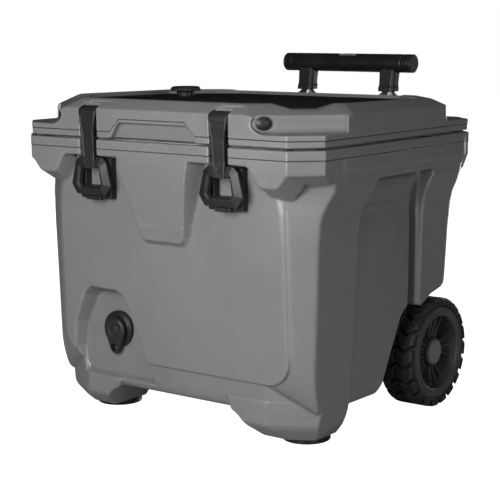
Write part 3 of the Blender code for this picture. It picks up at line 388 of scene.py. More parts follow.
def rim_shape(x, y, z):
    """Band round the mouth of the tub, bevelled underneath."""
    ax = np.abs(x)
    outline = ring_outline(x, y, HALF_W, HALF_D, RIM_C)
    outline = outline + np.where(z < TUB_SEAM_Z, SEAM_STEP, 0)
    front = np.maximum(-y - HALF_D, (ax - y - RIM_C) / ROOT2)
    side_low = RIM_LOW - 1.25 * (HALF_W - ax)
    back_low = RIM_LOW - 1.25 * (HALF_D - y)
    front_low = RIM_LOW + 0.5 * front
    low = np.maximum(np.maximum(side_low, back_low), front_low)
    d = smax(outline, z - RIM_Z, 1)
    return smax(d, (low - z) * 0.8, 1.5)


def skirt_shape(x, y, z):
    """Deeper part of the rim at each end of the front."""
    t = y + HALF_D
    corners = [(166, 415), (190, 379), (220, 379), (239, 401), (239, 415)]
    outline = convex(np.abs(x), z + 0.55 * t, corners, 5)
    ring = ring_outline(x, y, HALF_W, HALF_D, RIM_C) + 0.7
    return both(2.5, outline, ring, y + 192)


def shield_shape(x, y, z):
    """Tapering plate in the middle of the front."""
    face = smax(-y - HALF_D + 0.7, (-y - (HALF_D - 0.7) + (383 - z) * 0.2204) * 0.977, 3)
    half = along(z, ((430, 66), (407, 66), (290, 40), (200, 20)))
    sides = (np.abs(x) - half + 0.43 * face) * 0.9
    low = (286 - z + 0.75 * face) * 0.8
    d = smax(smax(sides, low, 10), face, 1)
    return both(1, d, y + 190, z - 412)


CHANNEL = 16.4
LATCH_X = 121.5


def pocket_shape(x, y, z):
    """Space under the rim in front of the wall, where a latch ring hangs."""
    corners = [(60, 406), (172, 406), (215, 340), (215, 320), (30, 320)]
    outline = convex(np.abs(x), z, corners, 9)
    return smax(outline, -front_plane(y, z), 2)


def channel_shape(x, y, z):
    """Groove for a latch strap."""
    return both(2, np.abs(np.abs(x) - LATCH_X) - CHANNEL, y + 218, 395 - z)


SIDE_PANEL = [
    (-46, 379), (-63, 352), (-70, 335), (-73, 316), (-76, 296), (-78, 58), (-78, 20),
    (110, 20), (105, 150), (101, 250), (101, 312), (102, 332), (103, 349), (104, 364),
    (108, 372), (106, 379)]
PANEL_DEPTH = ((430, 30), (379, 26), (360, 17), (335, 11), (300, 7.5), (200, 4.5), (60, 3))
GROOVE = [
    (79, 400), (79, 150), (101, 150), (100, 312), (102, 333), (103, 350), (105, 364),
    (106, 379), (106, 400)]


def side_panel_shape(x, y, z):
    """Sunk panel with the hand grip at its top."""
    outline = polygon(y, z, SIDE_PANEL)
    depth = side_x(z) - along(z, PANEL_DEPTH)
    return both(4, outline, depth - np.abs(x))


def groove_shape(x, y, z):
    """Deep vertical channel at the back of the side panel."""
    outline = smax(polygon(y, z, GROOVE), z - 378, 0.5)
    return both(14, outline, side_x(z) - 32 - np.abs(x))


WELL = [
    (-2, 20), (0, 50), (14, 66), (43, 126), (58, 156), (67, 166), (79, 172.5),
    (96, 171), (112, 168), (140, 182), (169, 188), (182, 196), (186, 206),
    (262, 215), (262, 20)]
WELL_X = 173
WHEEL_Y, WHEEL_Z = 162, 86


def well_shape(x, y, z):
    """Room for a rear wheel."""
    return both(4, polygon(y, z, WELL), WELL_X - np.abs(x))


DRAIN = [
    (-158, 203), (-171, 191), (-191, 146), (-196, 104), (-190, 76), (-181, 60),
    (-29, 58), (-44, 96), (-83, 184), (-91, 196), (-104, 203)]


def drain_shape(x, y, z):
    """Sunk field round the drain, with sloping walls."""
    floor = -y - (170 + (203 - z) * 0.06)
    outline = polygon(x, z, DRAIN)
    lean = np.clip(-y - 170, 0, 40)
    walls = outline + (32 - lean) * 0.35
    return both(3.5, walls, -floor)


def pit_shape(x, y, z):
    """Room for the liner."""
    d = ring_outline(x, y, 206, 164, 206 + 164 - 26)
    d = smax(d, 117 - z)
    hump = both(0, 127 - np.abs(x), -34 - y, z - 222)
    return smax(d, -hump)


def mouth_shape(x, y, z):
    """Step in the rim for the liner's flange."""
    d = ring_outline(x, y, HALF_W - 16, HALF_D - 16, RIM_C - 36)
    keep = both(0, np.abs(np.abs(x) - LATCH_X) - CHANNEL - 4, y + 214)
    return smax(smax(d, 423.7 - z), -keep)


def back_shape(x, y, z):
    """Shallow recess behind the pull handle."""
    outline = block(x, z - 250, 122, 148, 24)
    return both(4, outline, (HALF_D - along(z, SIDE_IN) - 6) - y)


def axle_shape(x, y, z):
    """Groove for the axle across the underside."""
    return both(2, np.abs(y - WHEEL_Y) - 8, z - 95, np.abs(x) - 185)


def make_tub():
    """Outer skin of the tub."""
    field = Field((-281, -239, 5), (281, 239, 436), FINE)
    field.add(body_shape)
    field.cut(scoop_shape, (-281, -239, 5), (281, -100, 150), 2.5)
    field.add(panel_shape, (-230, -239, 80), (230, -150, 436), 0.6)
    field.cut(pit_shape, (-220, -180, 100), (220, 180, 436))
    rim = Field((-281, -239, 300), (281, 239, 436), FINE)
    rim.axes[2] = field.axes[2][field.axes[2] >= 300]
    rim.values = np.full([len(a) for a in rim.axes], FAR, np.float32)
    rim.add(rim_shape)
    rim.cut(pocket_shape, (-230, -239, 300), (230, -180, 436), 3)
    rim.add(skirt_shape, (-281, -239, 340), (281, -180, 425), 2)
    rim.add(shield_shape, (-90, -239, 300), (90, -185, 425), 2)
    rim.cut(pit_shape, (-220, -180, 290), (220, 180, 440))
    start = len(field.axes[2]) - len(rim.axes[2])
    field.values[:, :, start:] = smin(field.values[:, :, start:], rim.values, 3)
    field.add(shield_shape, (-90, -239, 260), (90, -185, 310), 2)
    field.cut(channel_shape, (-145, -239, 390), (145, -210, 436), 1.5)
    for side in (-1, 1):
        near, far = span(side, 170, 281)
        field.cut(side_panel_shape, (near, -110, 5), (far, 140, 390), 3.5)
        field.cut(groove_shape, (near, 40, 130), (far, 140, 390), 5)
        near, far = span(side, 165, 281)
        field.cut(well_shape, (near, -20, 5), (far, 239, 230), 4)
    field.add(leg_shape, (-245, -200, 5), (245, -30, 110), 2)
    field.cut(drain_shape, (-230, -239, 5), (10, -160, 220), 3)
    field.cut(mouth_shape, (-281, -239, 415), (281, 239, 440))
    field.cut(back_shape, (-140, 170, 90), (140, 239, 396), 4)
    field.cut(axle_shape, (-190, 145, 5), (190, 180, 105), 2)
    return field


# ---- paint
class Paint:
    """Node material with short ways to wire it."""

    def __init__(self, name, roughness, metallic=0, specular=0.5):
        self.mat = bpy.data.materials.new(name)
        self.mat.use_nodes = True
        self.tree = self.mat.node_tree
        self.bsdf = next(n for n in self.tree.nodes if n.type == "BSDF_PRINCIPLED")
        self.bsdf.inputs["Roughness"].default_value = roughness
        self.bsdf.inputs["Metallic"].default_value = metallic
        self.bsdf.inputs["Specular IOR Level"].default_value = specular
        self.where = self.node("ShaderNodeTexCoord").outputs["Object"]
        self.height = None

    def node(self, kind, **settings):
        """New node with its settings."""
        made = self.tree.nodes.new(kind)
        for key, value in settings.items():
            setattr(made, key, value)
        return made

    def feed(self, socket, value):
        """Link an output, or set a constant, on a socket."""
        if isinstance(value, bpy.types.NodeSocket):
            self.tree.links.new(value, socket)
        else:
            socket.default_value = value

    def noise(self, scale, detail=4, stretch=None):
        """Noise by the piece's own position."""
        made = self.node("ShaderNodeTexNoise")
        made.inputs["Scale"].default_value = scale
        made.inputs["Detail"].default_value = detail
        where = self.where
        if stretch:
            mapping = self.node("ShaderNodeMapping")
            mapping.inputs["Scale"].default_value = stretch
            self.feed(mapping.inputs["Vector"], where)
            where = mapping.outputs["Vector"]
        self.feed(made.inputs["Vector"], where)
        return made.outputs["Fac"]

    def cells(self, scale, output="Distance"):
        """Cell pattern by the piece's own position."""
        made = self.node("ShaderNodeTexVoronoi")
        made.inputs["Scale"].default_value = scale
        self.feed(made.inputs["Vector"], self.where)
        return made.outputs[output]

    def spread(self, value, low, high, to_low=0, to_high=1):
        """Value carried from one range to another."""
        made = self.node("ShaderNodeMapRange", interpolation_type="SMOOTHSTEP")
        self.feed(made.inputs["Value"], value)
        for key, number in (("From Min", low), ("From Max", high), ("To Min", to_low), ("To Max", to_high)):
            self.feed(made.inputs[key], number)
        return made.outputs["Result"]

    def sum(self, operation, a, b=0):
        """Sum of two values."""
        made = self.node("ShaderNodeMath", operation=operation)
        self.feed(made.inputs[0], a)
        self.feed(made.inputs[1], b)
        return made.outputs[0]

    def axis(self, name):
        """One coordinate."""
        made = self.node("ShaderNodeSeparateXYZ")
        self.feed(made.inputs[0], self.where)
        return made.outputs[name]

    def edge(self):
        """How sharply the surface bends: over 0 on edges, under 0 in hollows."""
        return self.node("ShaderNodeAttribute", attribute_name="edge").outputs["Fac"]

    def blend(self, amount, first, second):
        """Two colours by an amount."""
        made = self.node("ShaderNodeMix", data_type="RGBA")
        self.feed(made.inputs["Factor"], amount)
        for key, colour in (("A", first), ("B", second)):
            socket = next(s for s in made.inputs if s.name == key and s.type == "RGBA")
            self.feed(socket, colour if isinstance(colour, bpy.types.NodeSocket) else (*colour, 1))
        return next(s for s in made.outputs if s.type == "RGBA")

    def colour(self, value):
        """Set the base colour."""
        self.feed(self.bsdf.inputs["Base Color"], value)

    def rough(self, value):
        """Set the roughness."""
        self.feed(self.bsdf.inputs["Roughness"], value)

    def bump(self, height, distance, strength=1):
        """Add relief, on top of what is there."""
        made = self.node("ShaderNodeBump")
        made.inputs["Strength"].default_value = strength
        made.inputs["Distance"].default_value = distance
        self.feed(made.inputs["Height"], height)
        if self.height:
            self.feed(made.inputs["Normal"], self.height)
        self.height = made.outputs["Normal"]
        self.feed(self.bsdf.inputs["Normal"], self.height)


def tone(value, warm=0):
    """Grey with a little warmth."""
    return (value * (1 + warm), value, value * (1 - warm))


def shell_paint(name, line):
    """Moulded grey shell: fine grain, faint mottling, rubbed edges, painted shade in its hollows, a parting
    line.
    """
    p = Paint(name, 0.4)
    big, fine = p.noise(7, 3), p.noise(420, 2)
    scuffs = p.noise(60, 6, (1, 1, 3))
    base = p.blend(p.spread(big, 0.3, 0.7), tone(0.112), tone(0.124, 0.01))
    base = p.blend(p.spread(fine, 0.35, 0.7, 0, 0.5), base, tone(0.142))
    rubbed = p.sum("MULTIPLY", p.spread(p.edge(), 0.25, 0.9), p.spread(scuffs, 0.45, 0.66, 0, 0.3))
    base = p.blend(rubbed, base, tone(0.17))
    # painted shade: every concave hollow darkened towards tone 0.05
    hollow_shade = p.spread(p.edge(), -0.35, -0.9, 0, 0.35)
    base = p.blend(hollow_shade, base, tone(0.05))
    drawn = line(p)
    base = p.blend(drawn, base, tone(0.02))
    p.colour(base)
    p.rough(p.spread(p.noise(26, 5), 0.3, 0.7, 0.34, 0.46))
    p.bump(fine, 0.00012, 0.5)
    p.bump(p.noise(1500, 1), 0.00005, 0.4)
    p.bump(p.sum("MULTIPLY", drawn, -1), 0.0008, 0.8)
    return p.mat


def level_line(p, height):
    """Thin line at a height."""
    away = p.sum("ABSOLUTE", p.sum("SUBTRACT", p.axis("Z"), height))
    return p.spread(away, 0.0003, 0.0009, 1, 0)


def tub_line(p):
    """Parting line round the tub's rim."""
    return level_line(p, TUB_SEAM_Z * MM)


def lid_line(p):
    """Parting line round the lid, stepping up over the finger recess."""
    across = p.sum("ABSOLUTE", p.axis("X"))
    step = p.node("ShaderNodeMapRange")
    p.feed(step.inputs["Value"], across)
    for key, place in (("From Min", FINGER_IN), ("From Max", FINGER_OUT), ("To Min", FINGER_SEAM_Z),
                       ("To Max", LID_SEAM_Z)):
        p.feed(step.inputs[key], place * MM)
    front = p.spread(p.axis("Y"), -0.24, -0.235, 1, 0)
    outside = p.spread(across, 0.1, 0.105)
    return p.sum("MULTIPLY", level_line(p, step.outputs["Result"]), p.sum("MAXIMUM", front, outside))


def black_paint(name, value=0.009, roughness=0.45, grain=300, relief=0.00008, wear=0.3):
    """Black moulded plastic or rubber."""
    p = Paint(name, roughness, specular=0.3)
    big, fine = p.noise(18, 3), p.noise(grain, 3)
    base = p.blend(p.spread(big, 0.3, 0.7), tone(value * 0.85), tone(value * 1.25, 0.01))
    patches = p.spread(p.noise(90, 5), 0.4, 0.65, 0, wear)
    dust = p.sum("MULTIPLY", p.spread(p.edge(), 0.15, 0.8), patches)
    base = p.blend(dust, base, tone(value * 4))
    p.colour(base)
    p.rough(p.spread(p.noise(40, 4), 0.3, 0.7, roughness - 0.06, roughness + 0.08))
    p.bump(fine, relief, 0.6)
    return p.mat


def metal_paint(name, value, roughness, brushed=(1, 1, 30), metallic=1):
    """Metal with a brushed or rolled surface."""
    p = Paint(name, roughness, metallic)
    strokes = p.noise(220, 5, brushed)
    stains = p.noise(24, 4)
    p.colour(p.blend(p.spread(stains, 0.3, 0.7), tone(value * 0.9), tone(value * 1.08, 0.01)))
    p.rough(p.spread(strokes, 0.3, 0.7, roughness - 0.07, roughness + 0.1))
    p.bump(strokes, 0.00003, 0.5)
    return p.mat


def liner_paint():
    """White liner: fine texture, faint dirt in its hollows."""
    p = Paint("liner_white", 0.35)
    base = p.blend(p.spread(p.noise(12, 3), 0.3, 0.7), tone(0.68, 0.01), tone(0.74, 0.012))
    dirt = p.sum("MULTIPLY", p.spread(p.edge(), -0.1, -0.8), p.spread(p.noise(50, 5), 0.4, 0.7, 0, 0.5))
    p.colour(p.blend(dirt, base, tone(0.4, 0.05)))
    p.rough(p.spread(p.noise(30, 4), 0.3, 0.7, 0.28, 0.42))
    p.bump(p.noise(500, 2), 0.00006, 0.5)
    return p.mat


def pad_paint():
    """Soft lid pad with a fine cross-hatched tread."""
    p = Paint("pad_foam", 0.75, specular=0.06)
    grain = p.noise(700, 3)
    along_x = p.sum("SINE", p.sum("MULTIPLY", p.sum("ADD", p.axis("X"), p.axis("Y")), 1400))
    along_y = p.sum("SINE", p.sum("MULTIPLY", p.sum("SUBTRACT", p.axis("X"), p.axis("Y")), 1400))
    tread = p.sum("MAXIMUM", along_x, along_y)
    base = p.blend(p.spread(p.noise(14, 4), 0.3, 0.7), tone(0.008), tone(0.012, 0.01))
    base = p.blend(p.spread(tread, 0.2, 1, 0, 0.5), base, tone(0.017))
    p.colour(base)
    p.rough(p.spread(grain, 0.3, 0.7, 0.62, 0.82))
    p.bump(tread, 0.0003, 0.7)
    p.bump(grain, 0.0001, 0.6)
    return p.mat


def tyre_paint():
    """Tyre rubber, scuffed lighter in patches on the lugs' edges."""
    p = Paint("tyre_rubber", 0.6, specular=0.3)
    base = p.blend(p.spread(p.noise(30, 4), 0.3, 0.7), tone(0.008), tone(0.013, 0.02))
    patches = p.spread(p.noise(120, 5), 0.38, 0.66, 0, 0.4)
    dust = p.sum("MULTIPLY", p.spread(p.edge(), 0.1, 0.8), patches)
    base = p.blend(dust, base, tone(0.04, 0.03))
    p.colour(base)
    p.rough(p.spread(p.noise(200, 4), 0.3, 0.7, 0.5, 0.72))
    p.bump(p.noise(380, 3), 0.00012, 0.6)
    return p.mat


def foam_paint():
    """Insulating foam."""
    p = Paint("foam_cells", 0.9)
    p.colour(p.blend(p.spread(p.cells(260), 0, 0.7), tone(0.6, 0.08), tone(0.72, 0.06)))
    p.bump(p.cells(260), 0.0004, 0.6)
    return p.mat


def floor_paint():
    """Plain pale floor, lit evenly to the eye."""
    p = Paint("floor_white", 0.9)
    p.colour(p.blend(p.spread(p.noise(3, 2), 0.3, 0.7), tone(0.34), tone(0.38)))
    glow = p.node("ShaderNodeEmission")
    glow.inputs["Strength"].default_value = 1.05
    both_lit = p.node("ShaderNodeAddShader")
    p.feed(both_lit.inputs[0], glow.outputs[0])
    p.feed(both_lit.inputs[1], p.bsdf.outputs[0])
    end = next(n for n in p.tree.nodes if n.type == "OUTPUT_MATERIAL")
    p.feed(end.inputs["Surface"], only_seen(p.tree, both_lit.outputs[0], p.bsdf.outputs[0]))
    return p.mat


SHELL_TUB = shell_paint("tub_grey", tub_line)
SHELL_LID = shell_paint("lid_grey", lid_line)
LINER = liner_paint()
FOAM = foam_paint()
BLACK = black_paint("black_moulded")
RUBBER = black_paint("black_rubber", 0.01, 0.45, 500, 0.00012, 0.3)
SOFT = black_paint("soft_grip", 0.008, 0.34, 650, 0.0001, 0.15)
GREY = black_paint("grey_moulded", 0.12, 0.42, 400, 0.00008, 0.1)
RIM = black_paint("rim_grey", 0.035, 0.4, 300, 0.00008, 0.12)
PAD = pad_paint()
TYRE = tyre_paint()
STEEL = metal_paint("steel", 0.55, 0.3)
ANODISED = metal_paint("anodised", 0.1, 0.34)


# ---- lid
LID_X, LID_Y, LID_C = 273.5, 231, 467.5
NOTCH_C, REAR_C = 403.9, 401
FRONT_PLUG, REAR_PLUG = (188.8, -217), (215.6, 184.5)
SHELF_Z, REAR_Y = 450.3, 200
PAD_X, PAD_FRONT, PAD_BACK = 243, -200, 181
PAD_C, PAD_REAR_C = 343, 343
DIP = ((-33, 0), (-7, 7.5), (29, 7.5), (54, 0))


def corner_s(x, y):
    """Place along a front corner's chamfer, from its middle."""
    return ((np.abs(x) - 256.5) + (y + 214)) / ROOT2


def lid_shape(x, y, z):
    """Whole lid before its notches and recesses."""
    ax = np.abs(x)
    d = ring_outline(x, y, LID_X, LID_Y, LID_C)
    d = d + np.where((z < LID_SEAM_Z) & (d > -6), SEAM_STEP, 0)
    front = (-y - LID_Y) * 0.504 + (z - 475) * 0.864
    side = (ax - LID_X) * 0.447 + (z - 475) * 0.894
    rear = (y - REAR_Y) * 0.447 + (z - 474) * 0.894
    facet = (ax - y - NOTCH_C) / ROOT2 * 0.418 + (z - 474) * 0.908
    rear_facet = (ax + y - REAR_C) / ROOT2 * 0.418 + (z - 474) * 0.908
    corner = np.clip((ax - y - 318) / 16, 0, 1)
    roof = z - 489 + 0.0125 * (y + 207) + along(corner_s(x, y), DIP) * corner
    top = both(2, front, side, rear, facet, rear_facet)
    top = smax(top, roof, 2)
    return both(1, smax(d, top, 2), 433 - z)


def notch_shape(x, y, z):
    """Front corner notch, over its flat shelf."""
    s = corner_s(x, y)
    d = both(10, -(np.abs(x) - y - NOTCH_C) / ROOT2, SHELF_Z - z, -60 - s)
    return smax(d, s - 64, 1)


def plug_pocket_shape(x, y, z):
    """Soft oval round the plug at the front end of a notch."""
    ax = np.abs(x)
    s = ((ax - FRONT_PLUG[0]) + (y - FRONT_PLUG[1])) / ROOT2
    return both(3, np.hypot((s + 1) / 1.3, z - 463.6) - 12.6, -(ax - y - NOTCH_C) / ROOT2 - 0.4)


def wedge_shape(cx):
    """Small flat-floored wedge cut in the lid's bevel beside a strap."""
    def shape(x, y, z):
        outline = convex(x - cx, y, [(-8, -212.5), (31.5, -212.5), (16.5, -226), (-8, -226)])
        return both(0.8, outline, 482.5 - z)
    return shape


def rear_notch_shape(x, y, z):
    """Rear corner notch."""
    return both(10, -(np.abs(x) + y - REAR_C) / ROOT2, SHELF_Z - z)


def rear_ledge_shape(x, y, z):
    """Step behind the raised middle, for the handle."""
    return both(6, REAR_Y - y, SHELF_Z - z)


def pad_recess_shape(x, y, z):
    """Dish in the lid's top for the pad."""
    ax = np.abs(x)
    d = both(4, ax - PAD_X, PAD_FRONT - y, y - PAD_BACK)
    d = both(4, d, (ax - y - PAD_C) / ROOT2, (ax + y - PAD_REAR_C) / ROOT2)
    return smax(d, 476.3 - z, 1)


def lid_channel_shape(x, y, z):
    """Strap groove in the front of the lid."""
    return both(2, np.abs(np.abs(x) - LATCH_X) - CHANNEL, y + 214.5, z - 482.5)


def finger_shape(x, y, z):
    """Finger recess along the lid's front edge."""
    outline = convex(x, z, [(-84, 425), (-64, 456), (64, 456), (84, 425)], 5)
    return both(4, outline, y + 221 - np.clip(456 - z, 0, 20) * 0.1)


def finger_step_shape(x, y, z):
    """Shallow step round the finger recess."""
    left = [(-92, 425), (-80, LID_SEAM_Z), (-61.5, FINGER_SEAM_Z)]
    corners = left + [(-a, b) for a, b in reversed(left)]
    outline = convex(x, z, corners, 2)
    return both(1, outline, y + LID_Y - 0.8)


def lid_under_shape(x, y, z):
    """Room for the lid's liner."""
    keep = both(0, np.abs(np.abs(x) - LATCH_X) - CHANNEL - 4, y + 209)
    keep = np.minimum(keep, both(0, np.abs(x) - 96, y + 212))
    return smax(smax(ring_outline(x, y, LID_X - 3.6, LID_Y - 3.6, LID_C - 6), z - 436.2), -keep)


def make_lid():
    """Field of the lid's skin."""
    field = Field((-279, -237, 427), (279, 237, 496), FINE * 0.75)
    field.add(lid_shape)
    field.cut(notch_shape, (-279, -237, 440), (279, -90, 496), 2)
    field.cut(plug_pocket_shape, (-230, -237, 440), (230, -180, 496), 3)
    for cx in (-LATCH_X, LATCH_X):
        field.cut(wedge_shape(cx), (cx - 12, -237, 470), (cx + 36, -200, 496), 0.8)
    field.cut(rear_notch_shape, (-279, 80, 440), (279, 237, 496), 2)
    field.cut(rear_ledge_shape, (-279, 180, 440), (279, 237, 496), 2)
    field.cut(pad_recess_shape, (-250, -210, 470), (250, 190, 496), 1.5)
    field.cut(finger_step_shape, (-100, -237, 427), (100, -215, 470), 0.5)
    field.cut(finger_shape, (-100, -237, 427), (100, -205, 470), 1.5)
    field.cut(lid_channel_shape, (-145, -237, 427), (145, -205, 496), 1.5)
    field.cut(lid_under_shape, (-279, -237, 427), (279, 237, 440))
    return field


def core(field, name, inset, every):
    """Insulating foam: the same shape drawn in, on a coarser grid."""
    inner = Field((0,) * 3, (1,) * 3, field.step * every)
    inner.axes = [a[::every] for a in field.axes]
    inner.values = field.values[::every, ::every, ::every] + inset
    edge = inner.values
    edge[0], edge[-1], edge[:, 0], edge[:, -1], edge[:, :, 0], edge[:, :, -1] = (FAR,) * 6
    return inner.skin(name)


TUB_TRIANGLES = 190000
tub_field = make_tub()
dress(tub_field.skin("tub_skin", TUB_TRIANGLES), "tub", "shell", SHELL_TUB, "tub_shell")
dress(core(tub_field, "tub_core", 4.5, 3), "tub", "foam", FOAM, "tub_foam")
lid_field = make_lid()
dress(lid_field.skin("lid_skin", TUB_TRIANGLES), "lid", "shell", SHELL_LID, "lid_shell")
dress(core(lid_field, "lid_core", 4, 4), "lid", "foam", FOAM, "lid_foam")


# ---- pad, plugs, knob
KNOB_X, KNOB_Y = -162, 43


def pad_shape(x, y, z):
    """Top pad."""
    ax = np.abs(x)
    d = both(3, ax - PAD_X + 1.2, PAD_FRONT + 1.2 - y, y - PAD_BACK + 1.2)
    d = both(3, d, (ax - y - PAD_C) / ROOT2 + 1.2, (ax + y - PAD_REAR_C) / ROOT2 + 1.2)
    d = smax(d, z - 482.3 + 0.0125 * (y + 207), 2)
    return smax(d, 476.5 - z)


def pad_hole(x, y, z):
    """Hole round the release knob."""
    return np.hypot(x - KNOB_X, y - KNOB_Y) - 15.8


def pad_groove(x, y, z):
    """Border groove cut in the pad."""
    ax = np.abs(x)
    d = both(6, ax - PAD_X + 13, PAD_FRONT + 13 - y, y - PAD_BACK + 13)
    d = both(6, d, (ax - y - PAD_C) / ROOT2 + 13, (ax + y - PAD_REAR_C) / ROOT2 + 13)
    return smax(np.abs(d) - 1.4, 479.6 - z)


dress(moulded(
    "lid_pad_sheet", (-245, -202, 474), (245, 183, 486), 1.6, pad_shape,
    (pad_hole, 0.8), (pad_groove, 0.8), triangles=120000), "lid", "pad", PAD, "lid_pad")


def plug_shape(side, rear):
    """Domed plug on a notch wall."""
    def shape(x, y, z):
        ax = side * x
        if rear:
            w = (ax + y - REAR_C) / ROOT2
            s = ((ax - REAR_PLUG[0]) - (y - REAR_PLUG[1])) / ROOT2
        else:
            w = (ax - y - NOTCH_C) / ROOT2
            s = ((ax - FRONT_PLUG[0]) + (y - FRONT_PLUG[1])) / ROOT2
        dz = z - 463.8
        dome = (np.sqrt((s / 10.5) ** 2 + (dz / 8.6) ** 2 + (w / 5) ** 2) - 1) * 5
        flange = both(0.8, np.hypot(s / 1.18, dz) - 9.6, w - 1.6)
        return smax(smin(dome, flange, 1), -0.4 - w)
    return shape


for side, word in SIDES:
    for rear, spot in ((False, "front"), (True, "rear")):
        cx, cy = (side * REAR_PLUG[0], REAR_PLUG[1]) if rear else (side * 189.5, -217.5)
        dress(moulded(
            f"corner_plug_{spot}_{word}", (cx - 15, cy - 15, 450), (cx + 15, cy + 15, 478), 0.7,
            plug_shape(side, rear)), "lid", "rubber", RUBBER, f"plug_{spot}_{word}")


def knob_shape(x, y, z):
    """Release knob: a disc on a notched stem."""
    r, a = np.hypot(x - KNOB_X, y - KNOB_Y), np.arctan2(y - KNOB_Y, x - KNOB_X)
    disc = both(1.4, r - 24 + 0.45 * np.cos(40 * a), z - 494.8, 487.6 - z)
    disc = smax(disc, (r - 24 + z - 494.8 + 2.6) / ROOT2, 1)
    stem = both(0.6, r - 14.6 + 0.8 * (np.cos(12 * a) > 0.2), 478.8 - z, z - 489)
    return smin(disc, stem, 1.2)


def knob_dish(x, y, z):
    """Shallow ring in the knob's top."""
    r = np.hypot(x - KNOB_X, y - KNOB_Y)
    return both(1, np.abs(r - 13.5) - 5, 493.6 - z)


dress(moulded(
    "release_knob_body", (KNOB_X - 27, KNOB_Y - 27, 476), (KNOB_X + 27, KNOB_Y + 27, 496.5), 0.7,
    knob_shape,
    (knob_dish, 0.5), triangles=60000), "release_turner", "hardware", BLACK, "release_knob")


# ---- latches
PIN_Y, PIN_Z = -222.5, 470.5
STRAP_HALF = ((386, 10.6), (404, 11.2), (412, 11), (425, 11.2), (440, 11.6), (455, 14.6), (471, 15.5))
STRAP_FRONT = (
    (386, 232.2), (402, 232.2), (411, 231.5), (425, 232.5), (440, 233.5), (455, 235), (471, 233),
    (480, 225))
RING = [(21, 404), (30, 397), (38.5, 362), (28, 347)]
HOLE = [(17.5, 387.5), (21, 364.5), (17.5, 360)]


def strap_shape(cx):
    """Rubber strap round its pin."""
    def shape(x, y, z):
        u = np.abs(x - cx)
        t = -y - along(z, STRAP_FRONT)
        half = along(z, STRAP_HALF)
        body = both(1.4, u - half, t, -t - 5.6, 387.2 - z, z - 474)
        knuckle = both(1.4, np.hypot(y - PIN_Y, z - PIN_Z) - 8.2, u - 15.5)
        return smin(body, knuckle, 6)
    return shape


def strap_sunk(cx):
    """Sunk face that leaves a raised edge, pointed at its foot."""
    def shape(x, y, z):
        u = np.abs(x - cx)
        t = -y - along(z, STRAP_FRONT)
        half = along(z, STRAP_HALF)
        field = both(1, u - half + 2.6, z - 464, 398.5 + u * 0.7 - z)
        mark = both(0.5, np.abs(393 + u * 0.7 - z) - 0.9, u - 7)
        return smax(np.minimum(field, mark), -0.9 - t, 0.6)
    return shape


def pin_hole(x, y, z):
    """Bore for a latch pin."""
    return np.hypot(y - PIN_Y, z - PIN_Z) - 3.3


def ring_shape(cx):
    """Pull ring with a ridge along the middle of its bars."""
    def shape(x, y, z):
        u, t = x - cx, -y - 231
        out, hole = convex(u, z, mirrored(RING)), convex(u, z, mirrored(HOLE))
        d = both(0.8, out, -hole, t, -t - 9.8)
        d = smax(d, (t + 0.42 * (out + 10.5)) * 0.92, 0.3)
        return smax(d, (t + 0.9 * (3 - hole)) * 0.74, 0.3)
    return shape


def keeper_shape(cx):
    """Keeper behind the ring: a frame with a lip below the ring."""
    def shape(x, y, z):
        u = np.abs(x - cx)
        base = both(1.5, u - 30, z - 401.5, 341 - z, -y - 216, y + 203.6)
        window = both(1.5, u - 19.5, z - 387, 360 - z)
        lip = both(1.2, u - 14, z - 346, 339.5 - z, -y - 223, y + 206)
        return smin(smax(base, -window, 1), lip, 2)
    return shape


for side, word in SIDES:
    cx = side * LATCH_X
    dress(moulded(
        f"strap_{word}", (cx - 19, -239, 384), (cx + 19, -210, 484), 0.8, strap_shape(cx),
        (strap_sunk(cx), 0.4), (pin_hole, 0.3), triangles=50000),
        f"latch_{word}", "rubber", RUBBER, f"latch_strap_{word}")
    dress(moulded(
        f"ring_{word}", (cx - 43, -235, 343), (cx + 43, -217.5, 408), 0.8, ring_shape(cx),
        triangles=50000),
        f"latch_{word}", "hardware", BLACK, f"latch_ring_{word}")
    dress(moulded(
        f"keeper_block_{word}", (cx - 33, -226, 336), (cx + 33, -200, 405), 1, keeper_shape(cx),
        triangles=40000), "tub", "hardware", BLACK, f"keeper_{word}")


# ---- drain
DRAIN_X, DRAIN_Z = -117, 137


def flange_shape(x, y, z):
    """Drain flange with thread rings."""
    r = np.hypot(x - DRAIN_X, z - DRAIN_Z)
    face = 179.2 + 0.8 * np.cos(r * 2 * math.pi / 3.4) * (r > 18)
    d = both(1.2, r - 28, (-y - face) * 0.8, y + 168)
    tube = both(0.5, r - 17, y + 158.5)
    return np.minimum(d, smax(tube, -y - 175))


def flange_bore(x, y, z):
    """Threaded bore of the drain."""
    r = np.hypot(x - DRAIN_X, z - DRAIN_Z)
    return r - 13.4 + 0.5 * np.cos(y * 2 * math.pi / 3)


def lever_outline(x, z):
    """Teardrop outline: a large round end drawn down to a small one."""
    u, v = np.abs(x - DRAIN_X), DRAIN_Z - z
    big, small, drop = 20, 10, 27
    b = (big - small) / drop
    a = math.sqrt(1 - b * b)
    k = -b * u + a * v
    middle = a * u + b * v - big
    end = np.hypot(u, v - drop) - small
    return np.where(k < 0, np.hypot(u, v) - big, np.where(k > a * drop, end, middle))


def lever_shape(x, y, z):
    """Screw plug with its lever head."""
    r = np.hypot(x - DRAIN_X, z - DRAIN_Z)
    out = lever_outline(x, z)
    head = both(2.2, out, -y - 189.8, y + 180.6)
    head = smax(head, (out - y - 189.8 + 3.2) / ROOT2, 1.5)
    shank = both(0.5, r - 12.6 + 0.4 * np.cos(y * 2 * math.pi / 3), -y - 184, y + 162)
    return np.minimum(head, shank)


def lever_marks(x, y, z):
    """Hanging hole and the ring round the middle of the head."""
    r = np.hypot(x - DRAIN_X, z - DRAIN_Z)
    hole = np.hypot(x - DRAIN_X, z - DRAIN_Z + 27) - 6
    ring = both(0.4, np.abs(r - 8.2) - 1, y + 188.8)
    return np.minimum(hole, ring)


